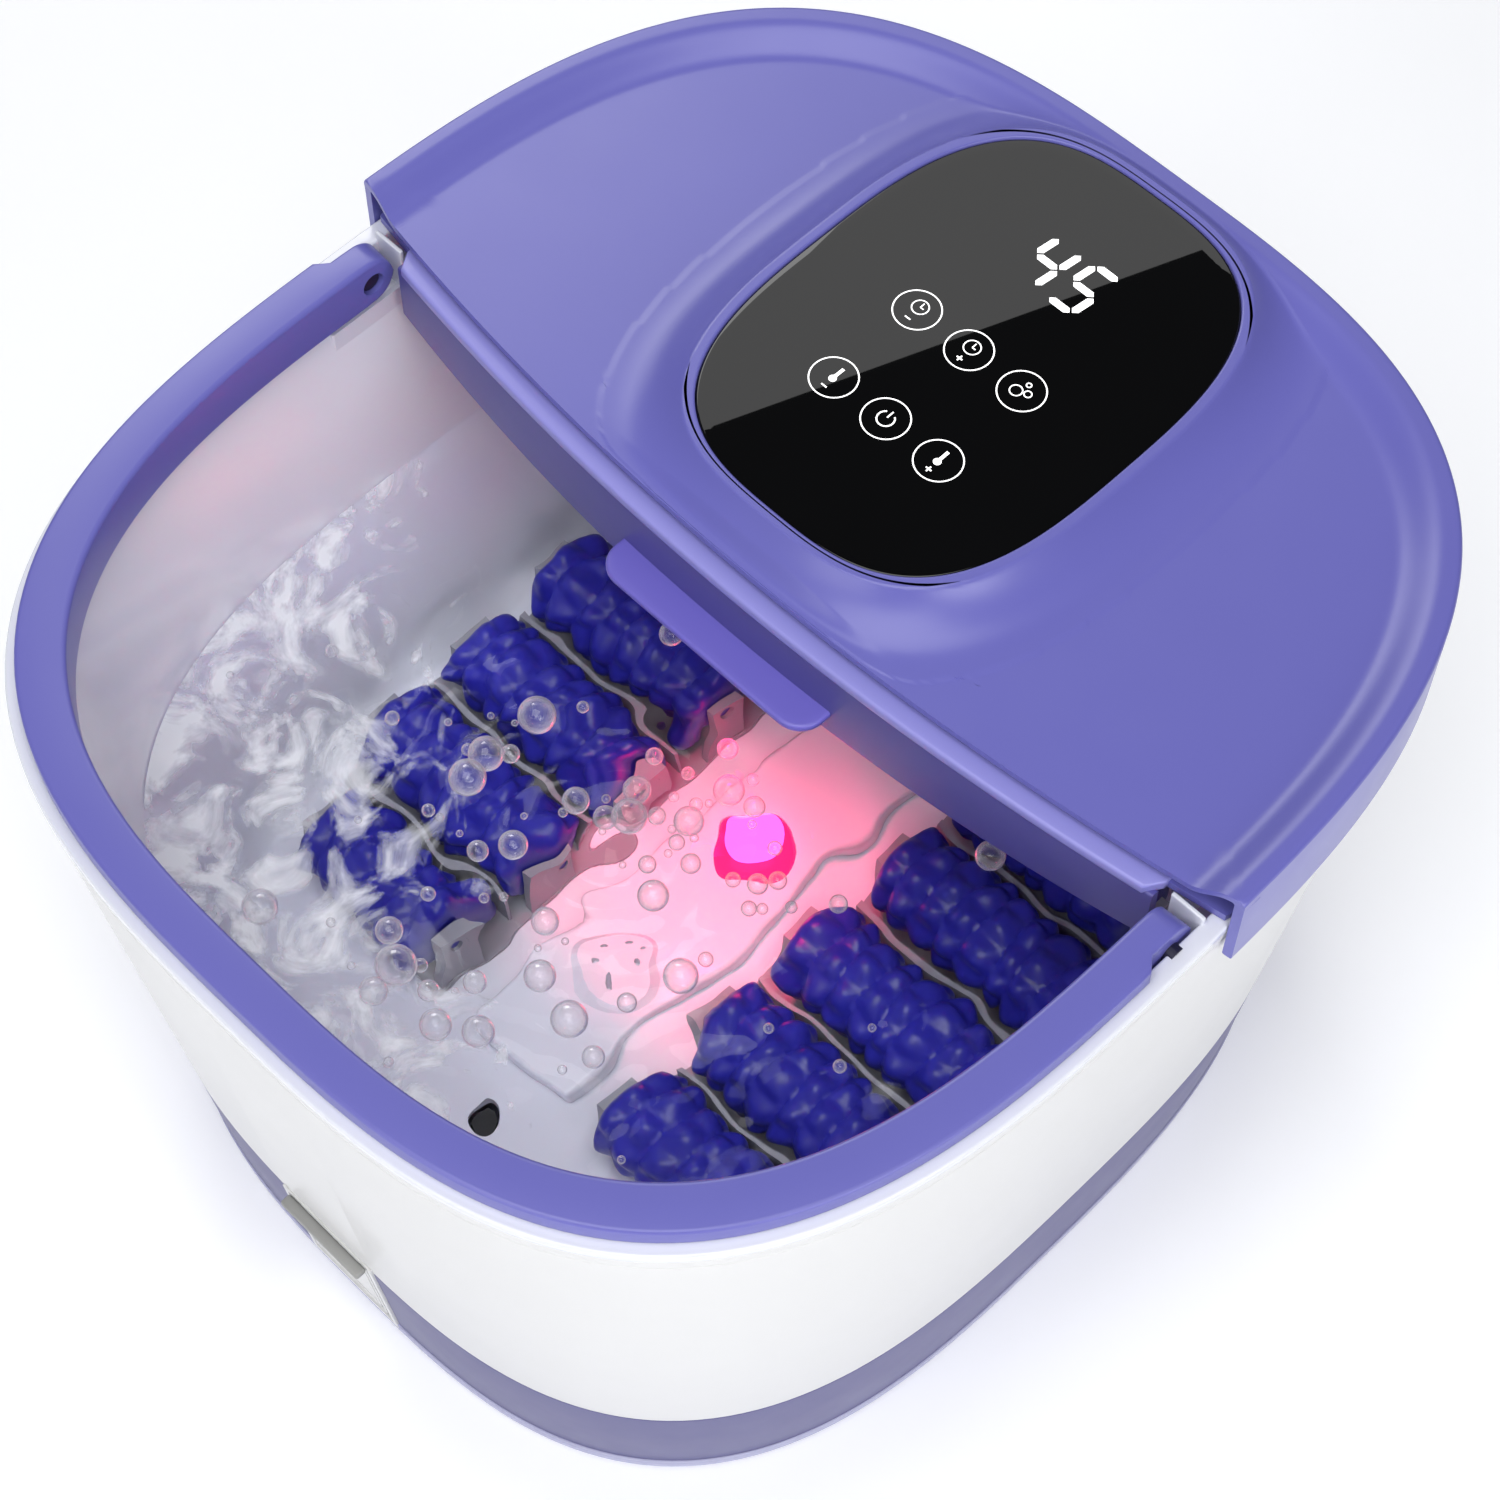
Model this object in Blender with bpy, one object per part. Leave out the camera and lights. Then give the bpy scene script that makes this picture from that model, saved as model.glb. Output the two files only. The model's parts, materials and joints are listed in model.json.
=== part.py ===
"""Foot spa basin: a heated bubble bath for the feet, with massage rollers, a carry handle that lies on
the rim, a hinged rear deck that holds the control panel, and a drain door low in the front wall.

Frame: +X right, +Y back, +Z up, origin on the floor under the middle of the overall box. Units are
metres. The pieces are laid out about the middle of the basin's plan, and a last step shifts them all,
because the rear hinges make the box longer at the back.
"""

import math

import bmesh
import bpy
from mathutils import Matrix, Vector

# ---------------------------------------------------------------- driving dimensions
GAP = 0.0003                  # gap kept between pieces that touch
EXPONENT = 3.0                # squareness of the basin's plan, a superellipse
PLAN_STEPS = 56               # points round the full plan

RIM_HALF_WIDTH = 0.1775       # outer edge of the tub's rim flange
RIM_HALF_DEPTH = 0.1975
BASE_HALF_WIDTH = 0.154       # outline where the walls meet the base plate
BASE_HALF_DEPTH = 0.175
RIM_HEIGHT = 0.243            # top of the rim flange above the floor
FOOT_HEIGHT = 0.004
BASE_PLATE_THICKNESS = 0.004
BASE_PLATE_LIP = 0.0008       # how far the plate's edge stands out below the band
BAND_TOP = 0.064              # joint between the coloured base band and the white shell
SHELL_WALL = 0.0024

RIM_THICKNESS = 0.004         # rim flange, top to bottom
RIM_FLANGE_WIDTH = 0.0062     # rim flange, from its outer edge in to the tub's wall
RIM_EDGE = 0.001              # broken edges of the flange
TUB_WALL = 0.002
TUB_LEDGE_WIDTH = 0.0075
LEDGE_BELOW_HANDLE = 0.003    # room between the tub's ledge and the handle that lies over it
TUB_FLOOR = 0.050             # inside floor of the tub
TUB_FLOOR_THICKNESS = 0.003
TUB_FLOOR_FROM_SIDE = 0.022   # the flat floor's outline, in from the base's outline
TUB_FLOOR_FROM_FRONT = 0.023
TUB_FLOOR_FILLET = 0.008

HANDLE_ABOVE_RIM = 0.007      # flat top of the handle over the rim when it lies there
HANDLE_DEPTH = 0.019
HANDLE_WIDTH = 0.0135
HANDLE_LIP_WIDTH = 0.0035     # lip that rests on the rim flange
HANDLE_EDGE = 0.0015
HANDLE_INSET = 0.0035         # from the flange's outer edge in to the handle's
HANDLE_STEPS = 40
PIVOT_Y = 0.003
PIVOT_PIN_RADIUS = 0.0035
PIVOT_BORE_RADIUS = 0.0041
PIVOT_PIN_SHORT = 0.0016      # how far the pin stops inside the arm's inner face
LIP_END_DISTANCE = 0.010      # the lip stops this far in front of the pivot
ARM_END_SHRINK = 0.0002       # the rounded end of an arm is this much thinner than the arm, all round
STOP_RIB_CLEARANCE = 0.002    # between the raised arm's back and the rib that stops it
STOP_RIB_THICKNESS = 0.0015
STOP_RIB_REACH = 0.011        # how far the rib reaches in from the tub's wall
STOP_RIB_BELOW_HANDLE = 0.004 # rib's top, below the lying handle's
PIVOT_PAD_HALF_WIDTH = 0.017  # raised six-sided pad on the tub's wall, below each pivot
PIVOT_PAD_HEIGHT = 0.024
PIVOT_PAD_CHAMFER = (0.009, 0.010)
PIVOT_PAD_PROUD = 0.0012

DECK_LAND_ABOVE_RIM = 0.017   # flat land round the deck's edge
DECK_LAND_WIDTH = 0.008
DECK_EDGE = 0.0012            # broken outer edge of the land
DECK_DISH = 0.006             # how far the deck's middle lies below the land
DISH_SLOPE = 0.004            # width of the slope inside the land
DECK_SHEET = 0.003
SKIRT_CLEARANCE = 0.0005      # between the deck's skirt and the rim flange
SKIRT_WALL = 0.0032
SKIRT_BELOW_RIM = 0.015
DECK_STEPS = 44
DECK_CORNER_Y = 0.0195        # front corners of the deck
DECK_BULGE = 0.017            # how far the middle of its front edge stands forward of them
FRAME_PLATE = 0.003
FRAME_INSET = 0.0008          # frame plate's outline, in from the rim's
FRAME_BEHIND_EDGE = 0.0015    # the plate stops this far behind the cover's front edge
FRONT_WALL_CLEARANCE = 0.0035 # between the front wall's ends and the handle's arms
FRONT_WALL_THICKNESS = 0.003
FRONT_WALL_BELOW_RIM = 0.029  # lower edge at the middle
FRONT_WALL_RISE = 0.008       # how much higher the lower edge is at the ends
LEDGE_FORWARD = 0.0055        # ledge strip in front of the deck's edge
LEDGE_BACK = 0.004            # and back under it
LEDGE_THICKNESS = 0.0042
LEDGE_SUNK = 0.002            # how far the strip's underside lies below the frame plate's top
TAB_HALF_LENGTH = 0.044
TAB_REACH = 0.013
TAB_THICKNESS = 0.003
TAB_BELOW_RIM = 0.020         # underside of the finger tab
TAB_CORNER = 0.009

LENS_HALF_WIDTH = 0.062
LENS_FROM_FRONT_EDGE = 0.016  # from the deck's front edge, at the middle
LENS_FROM_BACK_EDGE = 0.0147
LENS_THICKNESS = 0.003
LENS_RECESS = 0.0007          # lens top below the pod's
LENS_SHELF = 0.005            # width of the shelf that the lens sits on
POD_ABOVE_LAND = 0.0052
POD_RING = 0.0065             # rim of the pod round the lens
POD_SPREAD = 0.0028           # how much wider the pod is at its foot
POD_FOOT = 0.0035             # height of its upright foot
POD_SHOULDER = 0.0012
POD_EDGE = 0.001
POD_STEPS = 48
BOARD_THICKNESS = 0.0016
DISPLAY_SIZE = (0.056, 0.032, 0.006)
DISPLAY_FROM_SHELF = 0.017    # from the back of the lens's shelf
TOUCH_BOARD_FROM_SIDE = 0.017 # touch board's sides and front, in from the lens's shelf
TOUCH_BOARD_FROM_FRONT = 0.019
TOUCH_BOARD_TO_DISPLAY = 0.010

HINGE_AXIS_BEHIND_SKIRT = 0.0048
HINGE_AXIS_ABOVE_SKIRT = 0.0015
HINGE_KNUCKLE_RADIUS = 0.004
HINGE_PIN_RADIUS = 0.0015
HINGE_X = 0.050
HINGE_KNUCKLE_LENGTH = 0.012
HINGE_EAR = 0.006
HINGE_LEAF_THICKNESS = 0.0025
HINGE_LEAF_HEIGHT = 0.018

ROLLER_SPACE = 0.005          # between one roller's nubs and the next's
ROLLER_NUB = 0.0026           # height of the nubs on a roller
ROLLER_INNER_X = 0.042
ROLLER_FROM_FLOOR_FRONT = 0.064   # first roller's axis, in from the front edge of the tub's floor
ROLLER_FROM_FLOOR_BACK = 0.072    # last roller's, in from the back edge
CRADLE_FROM_FLOOR_EDGE = (0.010, 0.007, 0.005, 0.003, 0.002)   # beside each row, front to back
ROLLER_NUB_PITCH = 0.011
ROLLER_SIDES = 16
ROLLER_FLOOR_CLEARANCE = 0.0022
STUB_RADIUS = 0.003
STUB_LENGTH = 0.0036
STUB_CLEARANCE = 0.0006
CRADLE_EAR = 0.004
CRADLE_PLATE = 0.0015
CRADLE_EAR_HALF_WIDTH = 0.008
CRADLE_EAR_ABOVE_STUB = 0.003
CRADLE_END = 0.002            # plate beyond the end ears
CRADLE_MARGIN = 0.0006        # plate beside the ears
RIB_THICKNESS = 0.002
RIB_TOP_BELOW_AXIS = 0.001

SPINE_HALF_WIDTH = 0.022      # air channel cover down the middle of the floor
SPINE_FROM_FLOOR_END = 0.054  # its ends, in from the floor's
SPINE_HEIGHT = 0.010
SPINE_WALL = 0.002
LIGHT_Y = 0.010
LIGHT_RADIUS = 0.013
LIGHT_PROUD = 0.0012
LIGHT_DRAFT = 0.0008
NOZZLE_FROM_SPINE_END = 0.046
NOZZLE_RADIUS = 0.016
NOZZLE_HEIGHT = 0.004
NOZZLE_SLOPE = 0.003          # its top is this much smaller in radius
NOZZLE_STUB = 0.002           # spigot down into the air channel's cover
JETS = 6
JET_RADIUS = 0.0012
JET_CIRCLE = 0.008
AIR_INLET_RADIUS = 0.004
SENSOR_FROM_SPINE_END = 0.028
SENSOR_RADIUS = 0.003
SENSOR_LENGTH = 0.010         # below the floor
SENSOR_PROUD = 0.004          # above it

DOOR_HALF_WIDTH = 0.0185
DOOR_ABOVE_BAND = 0.0005
DOOR_THICKNESS = 0.0025
DOOR_CLEARANCE = 0.0006
DOOR_AXIS_Z = 0.014
DOOR_BORE_CLEARANCE = 0.0005
DOOR_PIN_RADIUS = 0.0009
PULL_REACH = 0.006            # grey finger pull along the door's top edge
PULL_HEIGHT = 0.003
BAY_WALL = 0.002
BAY_BEHIND = 0.001            # gap between the bay's back and the tub
BAY_PROUD = 0.0004
HOSE_X = 0.006
HOSE_Z = 0.036
HOSE_RADIUS = 0.005
PLUG_RADIUS = 0.0062
PLUG_LENGTH = 0.005
PLUG_BEHIND_DOOR = 0.0035
OUTLET_RADIUS = 0.006
OUTLET_FROM_FLOOR_FRONT = 0.034

SCREW_HEAD_RADIUS = 0.0035
SCREW_HEAD = 0.0018
SCREW_RADIUS = 0.0015
SCREW_LENGTH = 0.010
SCREW_BOSS_RADIUS = 0.0045
SCREW_BOSS_HEIGHT = 0.014
SCREW_BOSS_LAP = 0.0007       # how far a boss runs into the wall at its foot
SCREW_Y = 0.060
FOOT_RADIUS = 0.013
FOOT_SPREAD = 0.001
FOOT_FROM_SIDE = 0.056
FOOT_FROM_FRONT = 0.057
GLAND_X = 0.060
GLAND_Z = 0.030
GLAND_RADIUS = 0.007
GLAND_BORE_RADIUS = 0.0035
GLAND_PROUD = 0.003
GLAND_DEPTH = 0.010

LIGHT_BOARD_SIDE = 0.028
PUMP_Y = -0.030
PUMP_FROM_SIDE = 0.062        # pump's outer side, in from the base's outline
PUMP_SIZE = (0.054, 0.052, 0.026)
SPOUT_RADIUS = 0.003
SPOUT_LENGTH = 0.008
AIR_HOSE_RADIUS = 0.0035
HEATER_INNER_X = 0.030
HEATER_FROM_SIDE = 0.027      # heater's outer side, in from the tub floor's outline
HEATER_HALF_DEPTH = 0.060
HEATER_THICKNESS = 0.006
POWER_BOARD_X = (-0.050, 0.020)
POWER_BOARD_DEPTH = 0.045
POWER_BOARD_FROM_BACK = 0.022 # its back edge, in from the tub floor's outline
POST_HEIGHT = 0.004
POST_RADIUS = 0.003
POST_INSET = 0.005            # posts, in from the board's corners

# ---------------------------------------------------------------- sizes that follow from them
TUB_SEAT_HALF_WIDTH = RIM_HALF_WIDTH - RIM_FLANGE_WIDTH    # inside of the tub above its ledge
TUB_SEAT_HALF_DEPTH = RIM_HALF_DEPTH - RIM_FLANGE_WIDTH
TUB_FLOOR_HALF_WIDTH = BASE_HALF_WIDTH - TUB_FLOOR_FROM_SIDE
TUB_FLOOR_HALF_DEPTH = BASE_HALF_DEPTH - TUB_FLOOR_FROM_FRONT
PLATE_BOTTOM = FOOT_HEIGHT
PLATE_TOP = PLATE_BOTTOM + BASE_PLATE_THICKNESS
SHELL_TOP = RIM_HEIGHT - RIM_THICKNESS - GAP
HANDLE_HALF_WIDTH = RIM_HALF_WIDTH - HANDLE_INSET
HANDLE_HALF_DEPTH = RIM_HALF_DEPTH - HANDLE_INSET
HANDLE_TOP = RIM_HEIGHT + HANDLE_ABOVE_RIM
HANDLE_BOTTOM = HANDLE_TOP - HANDLE_DEPTH
LIP_BOTTOM = RIM_HEIGHT + GAP
TUB_LEDGE = HANDLE_BOTTOM - LEDGE_BELOW_HANDLE
SEAT_CORNER = TUB_LEDGE - TUB_WALL                         # height of the lower corner of the seat's wall
PIVOT_Z = HANDLE_TOP - HANDLE_DEPTH / 2
DECK_LAND = RIM_HEIGHT + DECK_LAND_ABOVE_RIM
DISH_FLOOR = DECK_LAND - DECK_DISH
SKIRT_BOTTOM = RIM_HEIGHT - SKIRT_BELOW_RIM
SKIRT_HALF_WIDTH = RIM_HALF_WIDTH + SKIRT_CLEARANCE + SKIRT_WALL
SKIRT_HALF_DEPTH = RIM_HALF_DEPTH + SKIRT_CLEARANCE + SKIRT_WALL
FRAME_BOTTOM = RIM_HEIGHT + GAP
FRAME_TOP = FRAME_BOTTOM + FRAME_PLATE
FRONT_WALL_HALF_LENGTH = HANDLE_HALF_WIDTH - HANDLE_WIDTH - FRONT_WALL_CLEARANCE
ROLLER_ROWS = len(CRADLE_FROM_FLOOR_EDGE)
ROLLER_FIRST_Y = ROLLER_FROM_FLOOR_FRONT - TUB_FLOOR_HALF_DEPTH
ROLLER_LAST_Y = TUB_FLOOR_HALF_DEPTH - ROLLER_FROM_FLOOR_BACK
ROLLER_PITCH = (ROLLER_LAST_Y - ROLLER_FIRST_Y) / (ROLLER_ROWS - 1)
ROLLER_RADIUS = (ROLLER_PITCH - ROLLER_SPACE) / 2
ROLLER_AXIS_Z = TUB_FLOOR + GAP + CRADLE_PLATE + ROLLER_FLOOR_CLEARANCE + ROLLER_RADIUS
SPINE_HALF_LENGTH = TUB_FLOOR_HALF_DEPTH - SPINE_FROM_FLOOR_END
NOZZLE_Y = NOZZLE_FROM_SPINE_END - SPINE_HALF_LENGTH
SENSOR_Y = SPINE_HALF_LENGTH - SENSOR_FROM_SPINE_END
SPINE_TOP = TUB_FLOOR + GAP + SPINE_HEIGHT
OUTLET_Y = OUTLET_FROM_FLOOR_FRONT - TUB_FLOOR_HALF_DEPTH
DOOR_TOP = BAND_TOP + DOOR_ABOVE_BAND
DECK_FRONT = DECK_CORNER_Y - DECK_BULGE
LENS_CENTRE_Y = (DECK_FRONT + LENS_FROM_FRONT_EDGE + SKIRT_HALF_DEPTH - LENS_FROM_BACK_EDGE) / 2
LENS_HALF_DEPTH = LENS_CENTRE_Y - DECK_FRONT - LENS_FROM_FRONT_EDGE
POD_TOP = DECK_LAND + POD_ABOVE_LAND
LENS_TOP = POD_TOP - LENS_RECESS
LENS_BOTTOM = LENS_TOP - LENS_THICKNESS
HINGE_AXIS_Z = SKIRT_BOTTOM + HINGE_AXIS_ABOVE_SKIRT
FLOOR_UNDERSIDE = TUB_FLOOR - TUB_FLOOR_THICKNESS - GAP
BASE_INSIDE = PLATE_TOP + GAP

# ---------------------------------------------------------------- colours, roughness, metallic
FINISHES = {
    "white_plastic": ((0.80, 0.80, 0.80), 0.35, 0.0),
    "tub_white": ((0.82, 0.82, 0.84), 0.25, 0.0),
    "purple_plastic": ((0.21, 0.20, 0.55), 0.35, 0.0),
    "band_plastic": ((0.15, 0.15, 0.29), 0.45, 0.0),
    "lip_plastic": ((0.36, 0.36, 0.46), 0.45, 0.0),
    "roller_plastic": ((0.05, 0.04, 0.40), 0.30, 0.0),
    "grey_plastic": ((0.22, 0.21, 0.23), 0.50, 0.0),
    "black_lens": ((0.005, 0.005, 0.006), 0.05, 0.0),
    "red_lens": ((0.70, 0.02, 0.05), 0.20, 0.0),
    "steel": ((0.60, 0.60, 0.62), 0.30, 1.0),
    "rubber": ((0.03, 0.03, 0.03), 0.80, 0.0),
    "circuit_board": ((0.02, 0.20, 0.08), 0.50, 0.0),
    "clear_hose": ((0.70, 0.74, 0.76), 0.30, 0.0),
    "aluminium": ((0.65, 0.66, 0.68), 0.35, 1.0),
}

for old in list(bpy.data.objects):
    bpy.data.objects.remove(old)

parts = bpy.data.collections.new("foot_spa_basin")
cutters = bpy.data.collections.new("cutters")
for collection in (parts, cutters):
    bpy.context.scene.collection.children.link(collection)
cutters.hide_render = True


# ---------------------------------------------------------------- helpers
def finish(node, kind):
    """A material of the node's own, with the finish named in the table."""
    colour, roughness, metallic = FINISHES[kind]
    material = bpy.data.materials.new(node)
    material.use_nodes = True
    shader = material.node_tree.nodes["Principled BSDF"]
    shader.inputs["Base Color"].default_value = (*colour, 1.0)
    shader.inputs["Roughness"].default_value = roughness
    shader.inputs["Metallic"].default_value = metallic
    material.diffuse_color = (*colour, 1.0)
    return material


def object_from(bm, name, kind=None):
    """A part made from a bmesh, or a cutter when it has no finish."""
    bmesh.ops.recalc_face_normals(bm, faces=bm.faces)
    mesh = bpy.data.meshes.new(name)
    bm.to_mesh(mesh)
    bm.free()
    body = bpy.data.objects.new(name, mesh)
    if kind is None:
        cutters.objects.link(body)
        body.hide_render = True
        body.display_type = "WIRE"
    else:
        parts.objects.link(body)
        mesh.materials.append(finish(name, kind))
        mesh.shade_smooth()
        mesh.set_sharp_from_angle(angle=math.radians(35))
    return body


def box(name, low, high, kind=None):
    bm = bmesh.new()
    size = Vector(high) - Vector(low)
    middle = (Vector(high) + Vector(low)) / 2
    bmesh.ops.create_cube(bm, size=1.0)
    bmesh.ops.scale(bm, vec=size, verts=bm.verts)
    bmesh.ops.translate(bm, vec=middle, verts=bm.verts)
    return object_from(bm, name, kind)


def cylinder(name, radius, start, end, kind=None, sides=24, end_radius=None):
    """A cylinder, or a cone, from one point to another."""
    bm = bmesh.new()
    start, end = Vector(start), Vector(end)
    along = end - start
    turn = along.to_track_quat("Z", "Y").to_matrix().to_4x4()
    place = Matrix.Translation((start + end) / 2) @ turn
    top = radius if end_radius is None else end_radius
    bmesh.ops.create_cone(bm, cap_ends=True, segments=sides, radius1=radius, radius2=top,
                          depth=along.length, matrix=place)
    return object_from(bm, name, kind)


def boolean(body, tool, operation):
    modifier = body.modifiers.new(f"{operation.lower()}_{tool.name}", "BOOLEAN")
    modifier.operation = operation
    modifier.object = tool
    modifier.solver = "EXACT"


def cut(body, *tools):
    for tool in tools:
        boolean(body, tool, "DIFFERENCE")


def unite(body, *tools):
    for tool in tools:
        boolean(body, tool, "UNION")


def on_plan(half_width, half_depth, angle):
    """A point of the plan's superellipse."""
    c, s = math.cos(angle), math.sin(angle)
    power = 2.0 / EXPONENT
    return (half_width * math.copysign(abs(c) ** power, c), half_depth * math.copysign(abs(s) ** power, s))


def plan_ring(half_width, half_depth, z, centre_y=0.0, steps=PLAN_STEPS):
    ring = []
    for step in range(steps):
        x, y = on_plan(half_width, half_depth, 2 * math.pi * step / steps)
        ring.append((x, y + centre_y, z))
    return ring


def angle_at_depth(half_depth, y):
    """The plan's angle where its outline passes the depth y, on the +X side."""
    share = math.copysign(abs(y / half_depth) ** (EXPONENT / 2), y)
    return math.asin(share)


def depth_of_plan(half_width, half_depth, x):
    """Depth of the plan's outline at the rear, at a distance x from the middle. With the two halves
    changed round, it gives the outline's half width at a depth."""
    return half_depth * (1 - abs(x / half_width) ** EXPONENT) ** (1 / EXPONENT)


def loft(name, rings, kind=None, wrap=False, end_faces=None):
    """A skin through equal closed rings of points. A wrapped loft joins its last ring to its first;
    otherwise each end is filled. An end that isn't flat is filled face by face, from ring indices."""
    bm = bmesh.new()
    rows = [[bm.verts.new(point) for point in ring] for ring in rings]
    count = len(rings[0])
    pairs = list(zip(rows, rows[1:]))
    if wrap:
        pairs.append((rows[-1], rows[0]))
    for lower, upper in pairs:
        for i in range(count):
            j = (i + 1) % count
            bm.faces.new((lower[i], lower[j], upper[j], upper[i]))
    if not wrap:
        whole_end = [tuple(range(count))]
        for row in (rows[0], rows[-1]):
            ends = [bm.faces.new([row[i] for i in face]) for face in end_faces or whole_end]
            if end_faces:
                bmesh.ops.triangulate(bm, faces=ends)
    bmesh.ops.remove_doubles(bm, verts=bm.verts, dist=1e-6)
    return object_from(bm, name, kind)


def extruded(name, outline, low, high, kind=None, axis="Z"):
    """A flat outline given in the plane across the axis, pushed along that axis."""
    place = {
        "X": lambda p, t: (t, p[0], p[1]),
        "Z": lambda p, t: (p[0], p[1], t),
    }[axis]
    return loft(name, [[place(p, low) for p in outline], [place(p, high) for p in outline]], kind)


def arc(centre, radius, start, end, steps):
    """Points of an arc; the angles are in degrees."""
    points = []
    for step in range(steps + 1):
        angle = math.radians(start + (end - start) * step / steps)
        points.append((centre[0] + radius * math.cos(angle), centre[1] + radius * math.sin(angle)))
    return points


def tube(name, points, radius, kind, sides_level=2):
    """A hose: a bevelled curve with filled caps."""
    curve = bpy.data.curves.new(name, "CURVE")
    curve.dimensions = "3D"
    curve.bevel_depth = radius
    curve.bevel_resolution = sides_level
    curve.use_fill_caps = True
    spline = curve.splines.new("POLY")
    spline.points.add(len(points) - 1)
    for point, place in zip(spline.points, points):
        point.co = (*place, 1.0)
    curve.materials.append(finish(name, kind))
    body = bpy.data.objects.new(name, curve)
    parts.objects.link(body)
    return body


def smooth_route(stops, steps):
    """Points along a smooth curve through the stops (Catmull-Rom)."""
    ends = [stops[0], *stops, stops[-1]]
    points = []
    for p0, p1, p2, p3 in zip(ends, ends[1:], ends[2:], ends[3:]):
        p0, p1, p2, p3 = Vector(p0), Vector(p1), Vector(p2), Vector(p3)
        for step in range(steps):
            t = step / steps
            points.append(0.5 * (2 * p1 + (p2 - p0) * t + (2 * p0 - 5 * p1 + 4 * p2 - p3) * t * t
                                 + (3 * p1 - 3 * p2 + p3 - p0) * t ** 3))
    points.append(Vector(stops[-1]))
    return points


def across(name, radius, place, half_length, kind=None, sides=24):
    """A cylinder along X, centred on a place."""
    x, y, z = place
    return cylinder(name, radius, (x - half_length, y, z), (x + half_length, y, z), kind, sides)


def upright(name, radius, place, low, high, kind=None, sides=24, top_radius=None):
    """A cylinder, or a cone, standing at a place of the plan."""
    return cylinder(name, radius, (*place, low), (*place, high), kind, sides, top_radius)


def side_box(name, side, inner, outer, front, back, low, high, kind=None):
    """A box between two distances from the middle, on the left (side -1) or the right (side 1)."""
    low_x, high_x = sorted((side * inner, side * outer))
    return box(name, (low_x, front, low), (high_x, back, high), kind)


def hang_on_axis(name, place, bodies):
    """Parent a moving body's pieces to an empty on its joint's axis."""
    empty = bpy.data.objects.new(name, None)
    empty.location = place
    parts.objects.link(empty)
    for body in bodies:
        body.parent = empty
        body.matrix_parent_inverse = Matrix.Translation(place).inverted()


def grown(half, by):
    """A half width and half depth, both made larger by the same amount."""
    return half[0] + by, half[1] + by


def wall_at(z, inset=0.0):
    """Half width and half depth of the outer wall at a height.

    The wall tapers from the base up to where it has to clear the tub's seat, and from there to the rim.
    """
    base = (BASE_HALF_WIDTH, BASE_HALF_DEPTH)
    seat = grown((TUB_SEAT_HALF_WIDTH, TUB_SEAT_HALF_DEPTH), TUB_WALL + GAP + SHELL_WALL)
    rim = (RIM_HALF_WIDTH, RIM_HALF_DEPTH)
    if z < SEAT_CORNER:
        low, high, share = base, seat, z / SEAT_CORNER
    else:
        low, high, share = seat, rim, (z - SEAT_CORNER) / (RIM_HEIGHT - SEAT_CORNER)
    return tuple(start + (end - start) * share - inset for start, end in zip(low, high))


def tub_half(z):
    """Half width and depth of the tub's inside between the floor's fillet and the ledge."""
    low = TUB_FLOOR + TUB_FLOOR_FILLET
    share = (z - low) / (TUB_LEDGE - low)
    seat = (TUB_SEAT_HALF_WIDTH - TUB_LEDGE_WIDTH, TUB_SEAT_HALF_DEPTH - TUB_LEDGE_WIDTH)
    floor = (TUB_FLOOR_HALF_WIDTH + TUB_FLOOR_FILLET, TUB_FLOOR_HALF_DEPTH + TUB_FLOOR_FILLET)
    return tuple(f + (s - f) * share for f, s in zip(floor, seat))


def front_edge(x):
    """Depth of the deck's bowed front edge."""
    return DECK_CORNER_Y - DECK_BULGE * (1 - (x / SKIRT_HALF_WIDTH) ** 2)


SIDES = (("left", -1), ("right", 1))
THROUGH = 0.02                # how far a cutter runs past what it cuts
hinge_skirt_y = depth_of_plan(SKIRT_HALF_WIDTH, SKIRT_HALF_DEPTH, HINGE_X - HINGE_KNUCKLE_LENGTH / 2)
HINGE_AXIS_Y = hinge_skirt_y + HINGE_AXIS_BEHIND_SKIRT


# ---------------------------------------------------------------- shell and base
def wall_ring(name, bottom, top, kind):
    """A stretch of the tapered outer wall, open at both ends."""
    heights = [bottom, top]
    if bottom < SEAT_CORNER < top:
        heights.insert(1, SEAT_CORNER)
    outside = [plan_ring(*wall_at(z), z) for z in heights]
    inside = [plan_ring(*wall_at(z, SHELL_WALL), z) for z in reversed(heights)]
    return loft(name, outside + inside, kind, wrap=True)


def front_of_wall(z, proud=0.0):
    """Depth of the wall's outer face at the front middle."""
    return -wall_at(z)[1] - proud


BAY_HALF_WIDTH = DOOR_HALF_WIDTH + DOOR_CLEARANCE + BAY_WALL
BAY_BOTTOM = PLATE_TOP + 2 * GAP
BAY_TOP = DOOR_TOP + DOOR_CLEARANCE + BAY_WALL
BAY_BACK = -(tub_half(BAY_TOP)[1] + TUB_WALL + BAY_BEHIND)


def bay_opening(name):
    """The opening that the door's bay fills, cut square through the wall."""
    return box(name, (-BAY_HALF_WIDTH - GAP, -RIM_HALF_DEPTH - THROUGH, 0.0),
               (BAY_HALF_WIDTH + GAP, BAY_BACK, BAY_TOP + GAP))


outer_shell = wall_ring("outer_shell", BAND_TOP + GAP, SHELL_TOP, "white_plastic")
cut(outer_shell, bay_opening("door_hole_shell"))

base_skirt = wall_ring("base_skirt", PLATE_TOP + GAP, BAND_TOP, "band_plastic")
gland_y = depth_of_plan(*wall_at(GLAND_Z), GLAND_X)
gland_hole = cylinder("gland_hole", GLAND_RADIUS + GAP, (GLAND_X, gland_y - THROUGH, GLAND_Z),
                      (GLAND_X, gland_y + THROUGH, GLAND_Z), sides=20)
cut(base_skirt, bay_opening("door_hole_band"), gland_hole)

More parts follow.
